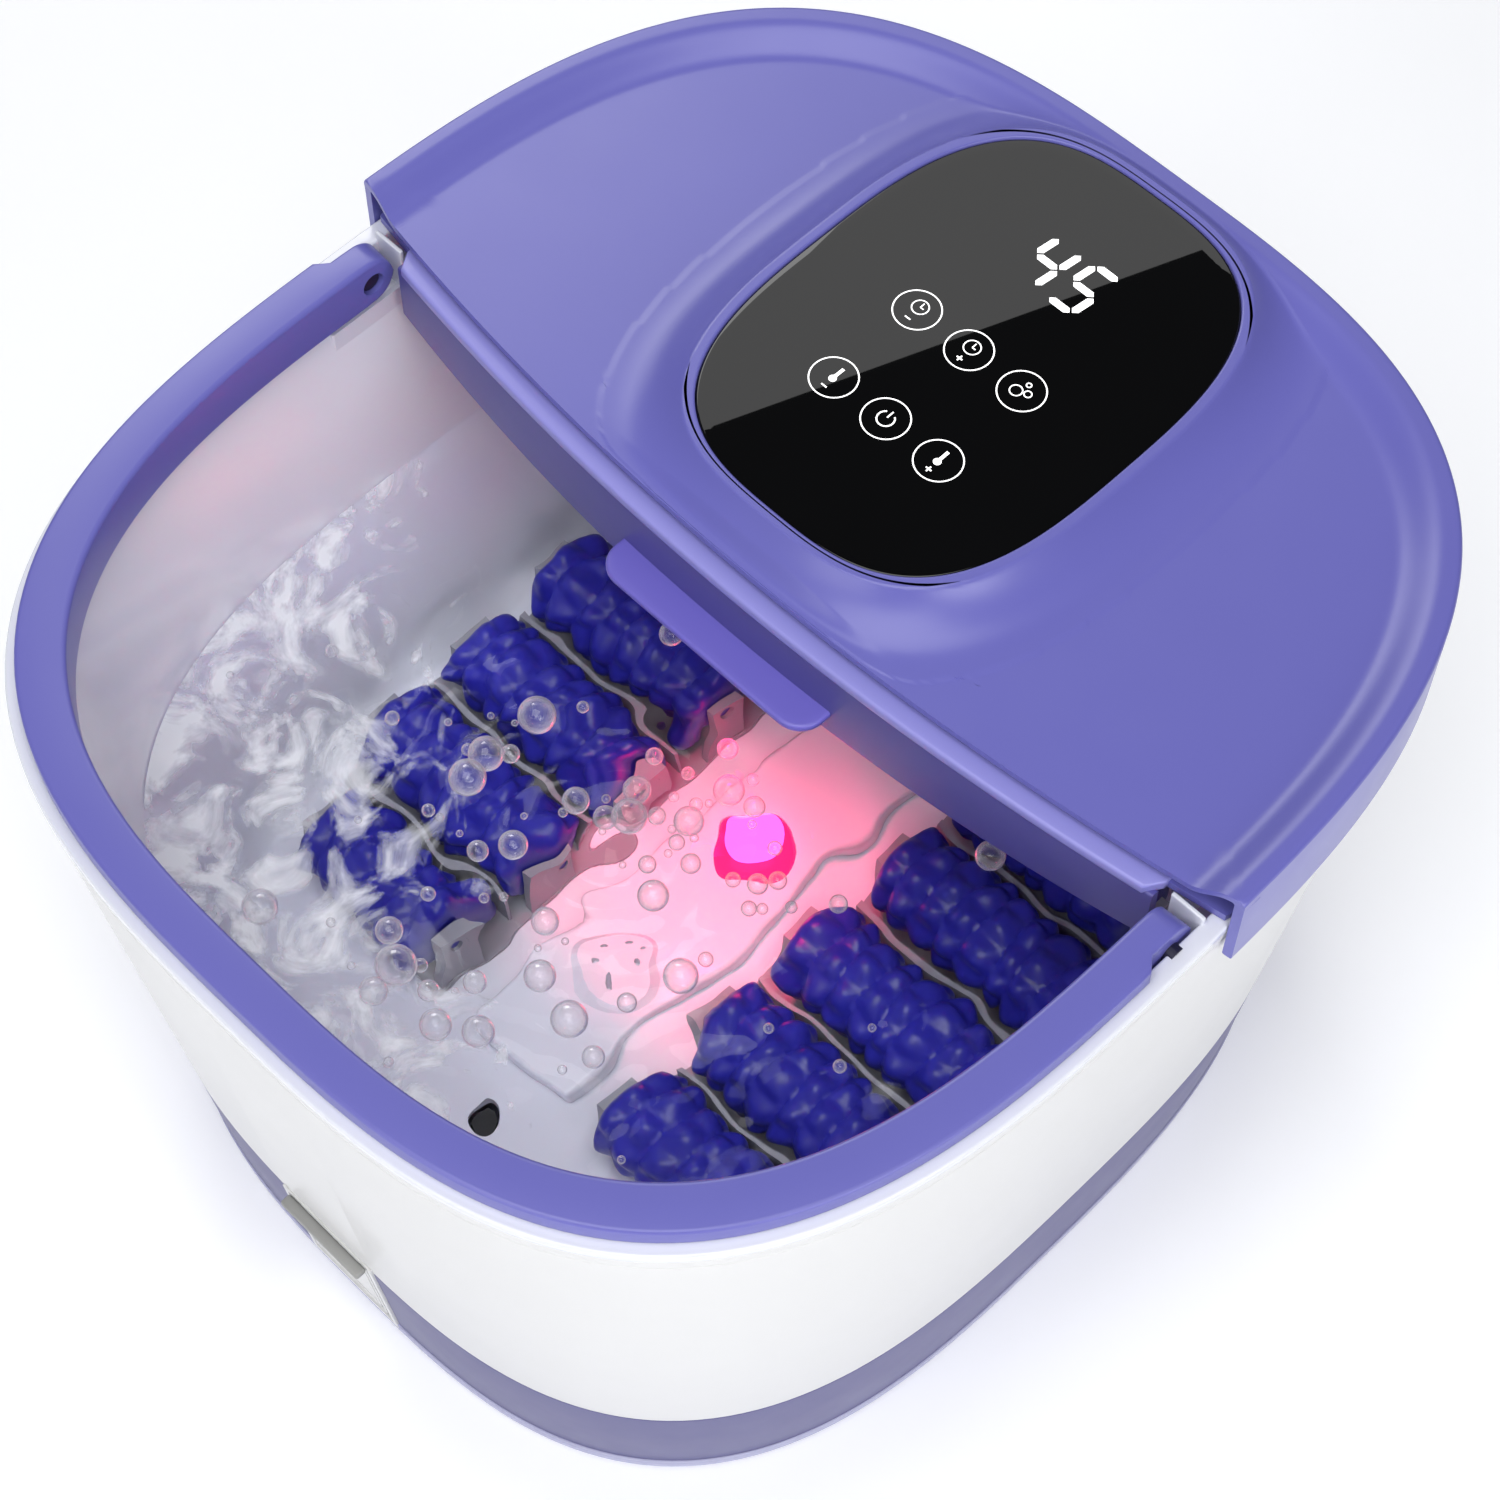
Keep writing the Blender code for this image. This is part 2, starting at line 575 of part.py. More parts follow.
plate_half = grown((BASE_HALF_WIDTH, BASE_HALF_DEPTH), BASE_PLATE_LIP)
base_plate = loft("base_plate", [plan_ring(*plate_half, PLATE_BOTTOM), plan_ring(*plate_half, PLATE_TOP)],
                  "lip_plastic")

foot_x = BASE_HALF_WIDTH - FOOT_FROM_SIDE
foot_y = BASE_HALF_DEPTH - FOOT_FROM_FRONT
wall_inside = wall_at(PLATE_TOP + GAP, SHELL_WALL)
screw_x = depth_of_plan(wall_inside[1], wall_inside[0], SCREW_Y) + SCREW_BOSS_LAP - SCREW_BOSS_RADIUS
screw_tip = PLATE_TOP + SCREW_LENGTH
for side, sign in SIDES:
    for end, way in (("front", -1), ("rear", 1)):
        upright(f"foot_{end}_{side}", FOOT_RADIUS, (sign * foot_x, way * foot_y), 0, PLATE_BOTTOM - GAP,
                "rubber", top_radius=FOOT_RADIUS + FOOT_SPREAD)
        place = (sign * screw_x, way * SCREW_Y)
        boss = upright(f"screw_boss_{end}_{side}", SCREW_BOSS_RADIUS, place, BASE_INSIDE,
                       PLATE_TOP + SCREW_BOSS_HEIGHT, sides=16)
        pilot = upright(f"pilot_{end}_{side}", SCREW_RADIUS + GAP, place, 0, screw_tip + GAP, sides=12)
        recess = upright(f"recess_{end}_{side}", SCREW_HEAD_RADIUS + GAP, place, 0,
                         PLATE_BOTTOM + SCREW_HEAD + 2 * GAP, sides=16)
        unite(base_skirt, boss)
        cut(base_skirt, pilot)
        cut(base_plate, recess, pilot)
        screw = upright(f"base_screw_{end}_{side}", SCREW_HEAD_RADIUS, place, PLATE_BOTTOM + GAP,
                        PLATE_BOTTOM + SCREW_HEAD + GAP, "steel", sides=12)
        unite(screw, upright(f"screw_shaft_{end}_{side}", SCREW_RADIUS, place, PLATE_BOTTOM + SCREW_HEAD / 2,
                             screw_tip, sides=10))


# ---------------------------------------------------------------- tub
def tub_profile():
    """Rings of the tub from the middle of its underside, out, up, over the rim and down inside."""
    seat = (TUB_SEAT_HALF_WIDTH, TUB_SEAT_HALF_DEPTH)
    rim = (RIM_HALF_WIDTH, RIM_HALF_DEPTH)
    low = TUB_FLOOR + TUB_FLOOR_FILLET
    floor = (TUB_FLOOR_HALF_WIDTH, TUB_FLOOR_HALF_DEPTH)
    return [
        (floor, TUB_FLOOR - TUB_FLOOR_THICKNESS),
        (grown(tub_half(low), TUB_WALL), low - 0.5 * TUB_WALL),
        (grown(tub_half(TUB_LEDGE), TUB_WALL), TUB_LEDGE - TUB_LEDGE_WIDTH),
        (grown(seat, TUB_WALL), TUB_LEDGE - TUB_WALL),
        (grown(seat, TUB_WALL), RIM_HEIGHT - RIM_THICKNESS),
        (rim, RIM_HEIGHT - RIM_THICKNESS),
        (rim, RIM_HEIGHT - RIM_EDGE),
        (grown(rim, -RIM_EDGE), RIM_HEIGHT),
        (grown(seat, RIM_EDGE), RIM_HEIGHT),
        (seat, RIM_HEIGHT - RIM_EDGE),
        (seat, TUB_LEDGE),
        (tub_half(TUB_LEDGE), TUB_LEDGE),
        (tub_half(low), low),
        (grown(floor, TUB_FLOOR_FILLET * 0.7), TUB_FLOOR + TUB_FLOOR_FILLET * 0.3),
        (floor, TUB_FLOOR),
    ]


inner_tub = loft("inner_tub", [plan_ring(*half, z) for half, z in tub_profile()], "tub_white")
wall_outside = TUB_SEAT_HALF_WIDTH + TUB_WALL
arm_inside = HANDLE_HALF_WIDTH - HANDLE_WIDTH
STOP_RIB_Y = PIVOT_Y + HANDLE_DEPTH / 2 + STOP_RIB_CLEARANCE
pad_top = TUB_LEDGE - 0.25 * TUB_WALL
pad_low = TUB_LEDGE - PIVOT_PAD_HEIGHT
pad_reach = PIVOT_PAD_HALF_WIDTH - PIVOT_PAD_CHAMFER[0]
pad_corner = pad_low + PIVOT_PAD_CHAMFER[1]
pad_outline = [(PIVOT_Y - PIVOT_PAD_HALF_WIDTH, pad_top), (PIVOT_Y - PIVOT_PAD_HALF_WIDTH, pad_corner),
               (PIVOT_Y - pad_reach, pad_low), (PIVOT_Y + pad_reach, pad_low),
               (PIVOT_Y + PIVOT_PAD_HALF_WIDTH, pad_corner), (PIVOT_Y + PIVOT_PAD_HALF_WIDTH, pad_top)]
pad_inner = tub_half(TUB_LEDGE)[0] - PIVOT_PAD_PROUD
for name, side in SIDES:
    pivot = (side * wall_outside, PIVOT_Y, PIVOT_Z)
    cut(inner_tub, across(f"pin_hole_{name}", PIVOT_PIN_RADIUS + GAP, pivot, THROUGH))
    stop_rib = side_box(f"stop_rib_{name}", side, TUB_SEAT_HALF_WIDTH - STOP_RIB_REACH,
                        TUB_SEAT_HALF_WIDTH + TUB_WALL / 2, STOP_RIB_Y, STOP_RIB_Y + STOP_RIB_THICKNESS,
                        TUB_LEDGE - TUB_WALL / 2, HANDLE_TOP - STOP_RIB_BELOW_HANDLE)
    pad_sides = sorted((side * pad_inner, side * (pad_inner + TUB_WALL)))
    unite(inner_tub, stop_rib, extruded(f"pivot_pad_{name}", pad_outline, *pad_sides, axis="X"))
    cylinder(f"pivot_pin_{name}", PIVOT_PIN_RADIUS, (side * (arm_inside + PIVOT_PIN_SHORT), PIVOT_Y, PIVOT_Z),
             pivot, "steel", sides=20)

# ---------------------------------------------------------------- carry handle
def handle_section(angle):
    """The handle's section at a plan angle, outer lip first, round by the top."""
    edge = HANDLE_EDGE
    outline = [(0.0, HANDLE_TOP - 0.7 * edge), (0.7 * edge, HANDLE_TOP), (HANDLE_WIDTH - edge, HANDLE_TOP),
               (HANDLE_WIDTH - 0.3 * edge, HANDLE_TOP - 0.4 * edge), (HANDLE_WIDTH, HANDLE_TOP - edge),
               (HANDLE_WIDTH, HANDLE_BOTTOM + edge), (HANDLE_WIDTH - edge, HANDLE_BOTTOM),
               (HANDLE_LIP_WIDTH + edge, HANDLE_BOTTOM), (HANDLE_LIP_WIDTH, HANDLE_BOTTOM + edge),
               (HANDLE_LIP_WIDTH, LIP_BOTTOM), (0.0, LIP_BOTTOM)]
    points = []
    for inset, z in outline:
        x, y = on_plan(HANDLE_HALF_WIDTH - inset, HANDLE_HALF_DEPTH - inset, angle)
        points.append((x, y, z))
    return points


lip_end = PIVOT_Y - LIP_END_DISTANCE
arm_start = angle_at_depth(HANDLE_HALF_DEPTH, lip_end)
handle_angles = [math.pi - arm_start + (math.pi + 2 * arm_start) * step / HANDLE_STEPS
                 for step in range(HANDLE_STEPS + 1)]
carry_handle = loft("carry_handle", [handle_section(angle) for angle in handle_angles], "purple_plastic")
end_radius = HANDLE_DEPTH / 2 - ARM_END_SHRINK
arm_lap = lip_end - HANDLE_EDGE
arm_outline = [(arm_lap, PIVOT_Z + end_radius), (arm_lap, PIVOT_Z - end_radius),
               *arc((PIVOT_Y, PIVOT_Z), end_radius, -90, 90, 12)]
for name, side in SIDES:
    arm_x = sorted((side * (arm_inside + ARM_END_SHRINK),
                    side * (HANDLE_HALF_WIDTH - HANDLE_LIP_WIDTH - ARM_END_SHRINK)))
    unite(carry_handle, extruded(f"arm_end_{name}", arm_outline, *arm_x, axis="X"))
    cut(carry_handle, across(f"arm_bore_{name}", PIVOT_BORE_RADIUS, (side * arm_inside, PIVOT_Y, PIVOT_Z),
                             THROUGH, sides=20))
hang_on_axis("handle_axis", (0, PIVOT_Y, PIVOT_Z), [carry_handle])

# ---------------------------------------------------------------- drain door and its bay
def tilted_slab(low, high, outer, inner):
    """Outline, in depth and height, of a slab that follows the wall's slope between two heights."""
    return [(front_of_wall(low, outer), low), (front_of_wall(low, inner), low),
            (front_of_wall(high, inner), high), (front_of_wall(high, outer), high)]


bay_outline = [(front_of_wall(BAY_BOTTOM, BAY_PROUD), BAY_BOTTOM), (BAY_BACK, BAY_BOTTOM),
               (BAY_BACK, BAY_TOP), (front_of_wall(BAY_TOP, BAY_PROUD), BAY_TOP)]
drain_bay = extruded("drain_bay", bay_outline, -BAY_HALF_WIDTH, BAY_HALF_WIDTH, "white_plastic", axis="X")
room_half = BAY_HALF_WIDTH - BAY_WALL
bay_room = box("bay_room", (-room_half, -RIM_HALF_DEPTH, BAY_BOTTOM + BAY_WALL),
               (room_half, BAY_BACK - BAY_WALL, BAY_TOP - BAY_WALL))
door_axis = (0, front_of_wall(DOOR_AXIS_Z) + DOOR_THICKNESS, DOOR_AXIS_Z)
pin_reach = room_half + BAY_WALL * 0.7
door_pin_hole = across("door_pin_hole", DOOR_PIN_RADIUS + GAP, door_axis, pin_reach, sides=16)
hose_hole = cylinder("hose_hole", HOSE_RADIUS + GAP, (HOSE_X, BAY_BACK - 2 * BAY_WALL, HOSE_Z),
                     (HOSE_X, BAY_BACK + 2 * BAY_WALL, HOSE_Z))
cut(drain_bay, bay_room, door_pin_hole, hose_hole)

panel = tilted_slab(DOOR_AXIS_Z, DOOR_TOP, 0.0, -DOOR_THICKNESS)
barrel = arc(door_axis[1:], DOOR_THICKNESS, 180, 360, 10)
drain_door = extruded("drain_door", [panel[3], *barrel, panel[2]], -DOOR_HALF_WIDTH, DOOR_HALF_WIDTH,
                      "white_plastic", axis="X")
cut(drain_door, across("door_bore", DOOR_PIN_RADIUS + DOOR_BORE_CLEARANCE, door_axis,
                       DOOR_HALF_WIDTH + THROUGH, sides=16))
across("door_pin", DOOR_PIN_RADIUS, door_axis, pin_reach - GAP, "steel", sides=12)
pull_back = front_of_wall(DOOR_TOP, GAP)
door_pull = box("door_pull", (-DOOR_HALF_WIDTH, pull_back - PULL_REACH, DOOR_TOP - PULL_HEIGHT),
                (DOOR_HALF_WIDTH, pull_back, DOOR_TOP), "grey_plastic")
hang_on_axis("door_axis", door_axis, [drain_door, door_pull])

# ---------------------------------------------------------------- drain hose and plug
cut(inner_tub, upright("outlet_hole", OUTLET_RADIUS, (HOSE_X, OUTLET_Y), TUB_FLOOR - THROUGH,
                       TUB_FLOOR + THROUGH))
hose_end_y = front_of_wall(HOSE_Z) + DOOR_THICKNESS + PLUG_BEHIND_DOOR + PLUG_LENGTH
hose_route = [(HOSE_X, OUTLET_Y, FLOOR_UNDERSIDE), (HOSE_X, OUTLET_Y - 0.001, FLOOR_UNDERSIDE - 0.004),
              (HOSE_X, OUTLET_Y - 0.008, HOSE_Z + 0.001), (HOSE_X, OUTLET_Y - 0.018, HOSE_Z),
              (HOSE_X, hose_end_y, HOSE_Z)]
drain_hose = tube("drain_hose", smooth_route(hose_route, 4), HOSE_RADIUS, "rubber")
cylinder("drain_plug", PLUG_RADIUS, (HOSE_X, hose_end_y - PLUG_LENGTH, HOSE_Z),
         (HOSE_X, hose_end_y - GAP, HOSE_Z), "grey_plastic", sides=20)


# ---------------------------------------------------------------- rollers and their cradles
def roller_middle_y(index):
    return ROLLER_FIRST_Y + ROLLER_PITCH * index


def roller_end(index):
    """Where a roller ends, so that its cradle's outer ear stays clear of the edge of the tub's floor."""
    ear_corner = abs(roller_middle_y(index)) + CRADLE_EAR_HALF_WIDTH + CRADLE_END
    floor_edge = depth_of_plan(TUB_FLOOR_HALF_DEPTH, TUB_FLOOR_HALF_WIDTH, ear_corner)
    return floor_edge - CRADLE_FROM_FLOOR_EDGE[index] - CRADLE_MARGIN - CRADLE_EAR - STUB_CLEARANCE


ROLLER_ENDS = [roller_end(index) for index in range(ROLLER_ROWS)]


def roller(name, low_x, high_x, y):
    """A roller with staggered nubs and a stub axle on each end."""
    rows = max(3, round((high_x - low_x) / ROLLER_NUB_PITCH))
    waist = ROLLER_RADIUS - ROLLER_NUB

    def ring(x, radii):
        points = []
        for step, radius in enumerate(radii):
            angle = 2 * math.pi * step / ROLLER_SIDES
            points.append((x, y + radius * math.cos(angle), ROLLER_AXIS_Z + radius * math.sin(angle)))
        return points

    stub = [STUB_RADIUS] * ROLLER_SIDES
    smooth = [waist] * ROLLER_SIDES
    rings = [ring(low_x - STUB_LENGTH, stub), ring(low_x, stub), ring(low_x, smooth)]
    for row in range(1, rows):
        nubs = [ROLLER_RADIUS if (step + row) % 2 else waist for step in range(ROLLER_SIDES)]
        rings.append(ring(low_x + (high_x - low_x) * row / rows, nubs))
    rings += [ring(high_x, smooth), ring(high_x, stub), ring(high_x + STUB_LENGTH, stub)]
    return loft(name, rings, "roller_plastic")


def cradle(name, side):
    """A grey cradle for one foot's rollers: a plate, an ear at each roller's ends and ribs between."""
    plate_low = TUB_FLOOR + GAP
    sunk = plate_low + CRADLE_PLATE / 2
    ear_top = ROLLER_AXIS_Z + STUB_RADIUS + CRADLE_EAR_ABOVE_STUB
    inner = ROLLER_INNER_X - STUB_CLEARANCE
    to_end = CRADLE_EAR_HALF_WIDTH + CRADLE_END
    plate_inner = inner - CRADLE_EAR - CRADLE_MARGIN
    outline = [(side * plate_inner, ROLLER_FIRST_Y - to_end)]
    for index, end in enumerate(ROLLER_ENDS):
        plate_outer = side * (end + STUB_CLEARANCE + CRADLE_EAR + CRADLE_MARGIN)
        row_front = roller_middle_y(index) - (ROLLER_PITCH / 2 if index else to_end)
        row_back = roller_middle_y(index) + (ROLLER_PITCH / 2 if index < ROLLER_ROWS - 1 else to_end)
        outline += [(plate_outer, row_front), (plate_outer, row_back)]
    outline.append((side * plate_inner, ROLLER_LAST_Y + to_end))
    body = extruded(name, outline, plate_low, plate_low + CRADLE_PLATE, "grey_plastic")
    for index, end in enumerate(ROLLER_ENDS):
        y = roller_middle_y(index)
        for ear_x in (inner - CRADLE_EAR, end + STUB_CLEARANCE):
            unite(body, side_box(f"{name}_ear", side, ear_x, ear_x + CRADLE_EAR, y - CRADLE_EAR_HALF_WIDTH,
                                 y + CRADLE_EAR_HALF_WIDTH, sunk, ear_top))
        if index:
            rib_y = y - ROLLER_PITCH / 2
            unite(body, side_box(f"{name}_rib", side, ROLLER_INNER_X, min(end, ROLLER_ENDS[index - 1]),
                                 rib_y - RIB_THICKNESS / 2, rib_y + RIB_THICKNESS / 2, sunk,
                                 ROLLER_AXIS_Z - RIB_TOP_BELOW_AXIS))
    reach = TUB_FLOOR_HALF_WIDTH / 2
    for index in range(len(ROLLER_ENDS)):
        place = (side * (inner - CRADLE_EAR + reach), roller_middle_y(index), ROLLER_AXIS_Z)
        cut(body, across(f"{name}_bore_{index}", STUB_RADIUS + STUB_CLEARANCE, place, reach + CRADLE_EAR,
                         sides=16))
    return body


for foot, side in SIDES:
    cradle(f"cradle_{foot}", side)
    for index, end in enumerate(ROLLER_ENDS):
        name = f"roller_{foot}_{index + 1}"
        body = roller(name, *sorted((side * ROLLER_INNER_X, side * end)), roller_middle_y(index))
        hang_on_axis(f"{name}_axis", (0, roller_middle_y(index), ROLLER_AXIS_Z), [body])

# ---------------------------------------------------------------- middle strip: air channel and red light
air_channel = box("air_channel_cover", (-SPINE_HALF_WIDTH, -SPINE_HALF_LENGTH, TUB_FLOOR + GAP),
                  (SPINE_HALF_WIDTH, SPINE_HALF_LENGTH, SPINE_TOP), "tub_white")
room_width = SPINE_HALF_WIDTH - SPINE_WALL
room_length = SPINE_HALF_LENGTH - SPINE_WALL
channel_room = box("channel_room", (-room_width, -room_length, TUB_FLOOR - SPINE_WALL),
                   (room_width, room_length, SPINE_TOP - SPINE_WALL))
light_place = (0, LIGHT_Y)
nozzle_place = (0, NOZZLE_Y)
sensor_place = (0, SENSOR_Y)
nozzle_hole_radius = NOZZLE_RADIUS - NOZZLE_SLOPE
cut(air_channel, channel_room,
    upright("light_hole", LIGHT_RADIUS + GAP, light_place, TUB_FLOOR - THROUGH, SPINE_TOP + THROUGH),
    upright("nozzle_hole", nozzle_hole_radius, nozzle_place, TUB_FLOOR, SPINE_TOP + THROUGH))
through_floor = (TUB_FLOOR - THROUGH, TUB_FLOOR + TUB_FLOOR_THICKNESS)
cut(inner_tub, upright("air_hole", AIR_INLET_RADIUS, nozzle_place, *through_floor),
    upright("light_floor_hole", LIGHT_RADIUS - TUB_FLOOR_THICKNESS, light_place, *through_floor),
    upright("sensor_hole", SENSOR_RADIUS + GAP, sensor_place, *through_floor))
upright("red_light_lens", LIGHT_RADIUS, light_place, TUB_FLOOR + GAP, SPINE_TOP + LIGHT_PROUD, "red_lens",
        top_radius=LIGHT_RADIUS - LIGHT_DRAFT)
nozzle = upright("air_nozzle", NOZZLE_RADIUS, nozzle_place, SPINE_TOP + GAP, SPINE_TOP + NOZZLE_HEIGHT,
                 "tub_white", top_radius=NOZZLE_RADIUS - NOZZLE_SLOPE)
unite(nozzle, upright("nozzle_stub", nozzle_hole_radius - GAP, nozzle_place, SPINE_TOP - NOZZLE_STUB,
                      SPINE_TOP + NOZZLE_HEIGHT / 2))
for jet in range(JETS):
    angle = 2 * math.pi * jet / JETS
    place = (JET_CIRCLE * math.cos(angle), NOZZLE_Y + JET_CIRCLE * math.sin(angle))
    cut(nozzle, upright(f"jet_{jet}", JET_RADIUS, place, SPINE_TOP - THROUGH, SPINE_TOP + THROUGH, sides=8))

# ---------------------------------------------------------------- under the tub's floor
upright("temperature_sensor", SENSOR_RADIUS, sensor_place, FLOOR_UNDERSIDE - SENSOR_LENGTH,
        TUB_FLOOR + SENSOR_PROUD, "steel", sides=16)
half_board = LIGHT_BOARD_SIDE / 2
box("light_board", (-half_board, LIGHT_Y - half_board, FLOOR_UNDERSIDE - BOARD_THICKNESS),
    (half_board, LIGHT_Y + half_board, FLOOR_UNDERSIDE), "circuit_board")

pump_left = PUMP_FROM_SIDE - BASE_HALF_WIDTH
pump_right = pump_left + PUMP_SIZE[0]
spout_z = BASE_INSIDE + PUMP_SIZE[2] / 2
spout_end = pump_right + SPOUT_LENGTH
air_pump = box("air_pump", (pump_left, PUMP_Y - PUMP_SIZE[1] / 2, BASE_INSIDE),
               (pump_right, PUMP_Y + PUMP_SIZE[1] / 2, BASE_INSIDE + PUMP_SIZE[2]), "grey_plastic")
unite(air_pump, cylinder("pump_spout", SPOUT_RADIUS, (pump_right - SPOUT_RADIUS, PUMP_Y, spout_z),
                         (spout_end, PUMP_Y, spout_z)))
air_route = [(spout_end + 2 * GAP, PUMP_Y, spout_z), (spout_end + 0.004, PUMP_Y, spout_z),
             (spout_end + 0.008, PUMP_Y, spout_z), (-0.008, NOZZLE_Y + 0.010, spout_z + 0.001),
             (-0.001, NOZZLE_Y, spout_z + 0.008), (0, NOZZLE_Y, FLOOR_UNDERSIDE)]
tube("air_hose", smooth_route(air_route, 4), AIR_HOSE_RADIUS, "clear_hose")

box("heater_plate", (HEATER_INNER_X, -HEATER_HALF_DEPTH, FLOOR_UNDERSIDE - HEATER_THICKNESS),
    (TUB_FLOOR_HALF_WIDTH - HEATER_FROM_SIDE, HEATER_HALF_DEPTH, FLOOR_UNDERSIDE), "aluminium")
board_back = TUB_FLOOR_HALF_DEPTH - POWER_BOARD_FROM_BACK
board_front = board_back - POWER_BOARD_DEPTH
board_low = BASE_INSIDE + POST_HEIGHT
box("power_board", (POWER_BOARD_X[0], board_front, board_low),
    (POWER_BOARD_X[1], board_back, board_low + BOARD_THICKNESS), "circuit_board")
posts = [(x, y) for y in (board_front + POST_INSET, board_back - POST_INSET)
         for x in (POWER_BOARD_X[0] + POST_INSET, POWER_BOARD_X[1] - POST_INSET)]
for number, place in enumerate(posts):
    upright(f"board_post_{number + 1}", POST_RADIUS, place, BASE_INSIDE, board_low - GAP, "white_plastic",
            sides=12)

gland = cylinder("cord_gland", GLAND_RADIUS, (GLAND_X, gland_y - GLAND_DEPTH, GLAND_Z),
                 (GLAND_X, gland_y + GLAND_PROUD, GLAND_Z), "rubber", sides=20)
cut(gland, cylinder("gland_bore", GLAND_BORE_RADIUS, (GLAND_X, gland_y - THROUGH, GLAND_Z),
                    (GLAND_X, gland_y + THROUGH, GLAND_Z), sides=16))

# ---------------------------------------------------------------- deck: cover
corner_angle = angle_at_depth(SKIRT_HALF_DEPTH, DECK_CORNER_Y)


def deck_section(step):
    """One radial section of the cover: along its top to the middle of the front edge and back below."""
    angle = corner_angle + (math.pi - 2 * corner_angle) * step / DECK_STEPS
    slope_foot = DISH_FLOOR + DECK_SHEET / 3

    def rim_point(inset):
        """A point on the cover's outline; the first and last sections end on the bowed front edge."""
        x, y = on_plan(SKIRT_HALF_WIDTH - inset, SKIRT_HALF_DEPTH - inset, angle)
        return (x, front_edge(x)) if step in (0, DECK_STEPS) else (x, y)

    def spoke(share):
        """A point inside the outline, with less of the front edge's bow the further back it lies."""
        inset = DECK_LAND_WIDTH + DISH_SLOPE
        x, y = on_plan(SKIRT_HALF_WIDTH - inset, SKIRT_HALF_DEPTH - inset, angle)
        x, y = x * share, DECK_CORNER_Y + (max(y, DECK_CORNER_Y) - DECK_CORNER_Y) * share
        forward = 1 - (y - DECK_CORNER_Y) / (SKIRT_HALF_DEPTH - DECK_CORNER_Y)
        return (x, y - (DECK_CORNER_Y - front_edge(x)) * forward)

    top = [(*rim_point(0.0), DECK_LAND - DECK_EDGE), (*rim_point(DECK_EDGE), DECK_LAND),
           (*rim_point(DECK_LAND_WIDTH), DECK_LAND),
           (*rim_point(DECK_LAND_WIDTH + DISH_SLOPE), slope_foot)]
    inner = [(*spoke(share), DISH_FLOOR) for share in (0.9, 0.6, 0.3)]
    middle_top = (0.0, DECK_FRONT, DISH_FLOOR)
    middle_low = (0.0, DECK_FRONT, DISH_FLOOR - DECK_SHEET)
    below = [(*spoke(share), DISH_FLOOR - DECK_SHEET) for share in (0.3, 0.6, 0.9)]
    skirt_top = DECK_LAND - DECK_SHEET
    low = [(*rim_point(DECK_LAND_WIDTH + DISH_SLOPE), slope_foot - DECK_SHEET),
           (*rim_point(SKIRT_WALL + DECK_EDGE), skirt_top), (*rim_point(SKIRT_WALL), skirt_top - DECK_EDGE),
           (*rim_point(SKIRT_WALL), SKIRT_BOTTOM), (*rim_point(0.0), SKIRT_BOTTOM)]
    return [*top, *inner, middle_top, middle_low, *below, *low]


# the cover's front edge: the sheet's stretches from the middle out, then the skirt's corner
DECK_END_FACES = [(7, 8, 9, 6), (6, 9, 10, 5), (5, 10, 11, 4), (4, 11, 12, 3), (3, 12, 13, 2), (2, 13, 14, 1),
                  (1, 14, 0), (0, 14, 15, 16)]
deck_cover = loft("deck_cover", [deck_section(step) for step in range(DECK_STEPS + 1)], "purple_plastic",
                  end_faces=DECK_END_FACES)

lens_half = (LENS_HALF_WIDTH, LENS_HALF_DEPTH)


def lens_ring(grow, z):
    """A ring of the lens's outline, grown on every side."""
    return plan_ring(*grown(lens_half, grow), z, LENS_CENTRE_Y, steps=POD_STEPS)


pod = loft("pod", [lens_ring(POD_RING + POD_SPREAD, DISH_FLOOR - DECK_SHEET / 3),
                   lens_ring(POD_RING + POD_SPREAD, DISH_FLOOR + POD_FOOT),
                   lens_ring(POD_RING + POD_SHOULDER, POD_TOP - 2 * POD_EDGE),
                   lens_ring(POD_RING - POD_EDGE, POD_TOP)])
lens_seat = loft("lens_seat", [lens_ring(GAP, LENS_BOTTOM - GAP), lens_ring(GAP, POD_TOP + THROUGH)])
lens_window = loft("lens_window", [lens_ring(-LENS_SHELF, DISH_FLOOR - THROUGH),
                                   lens_ring(-LENS_SHELF, POD_TOP + THROUGH)])
unite(deck_cover, pod)
cut(deck_cover, lens_seat, lens_window)
control_lens = loft("control_lens", [lens_ring(0.0, LENS_BOTTOM), lens_ring(0.0, LENS_TOP)], "black_lens")
board_top = LENS_BOTTOM - GAP
shelf_half_depth = LENS_HALF_DEPTH - LENS_SHELF
display_back = LENS_CENTRE_Y + shelf_half_depth - DISPLAY_FROM_SHELF
display_front = display_back - DISPLAY_SIZE[1]
display_module = box("display_module", (-DISPLAY_SIZE[0] / 2, display_front, board_top - DISPLAY_SIZE[2]),
                     (DISPLAY_SIZE[0] / 2, display_back, board_top), "black_lens")
board_half = LENS_HALF_WIDTH - LENS_SHELF - TOUCH_BOARD_FROM_SIDE
board_near = LENS_CENTRE_Y - shelf_half_depth + TOUCH_BOARD_FROM_FRONT
touch_board = box("touch_board", (-board_half, board_near, board_top - BOARD_THICKNESS),
                  (board_half, display_front - TOUCH_BOARD_TO_DISPLAY, board_top), "circuit_board")

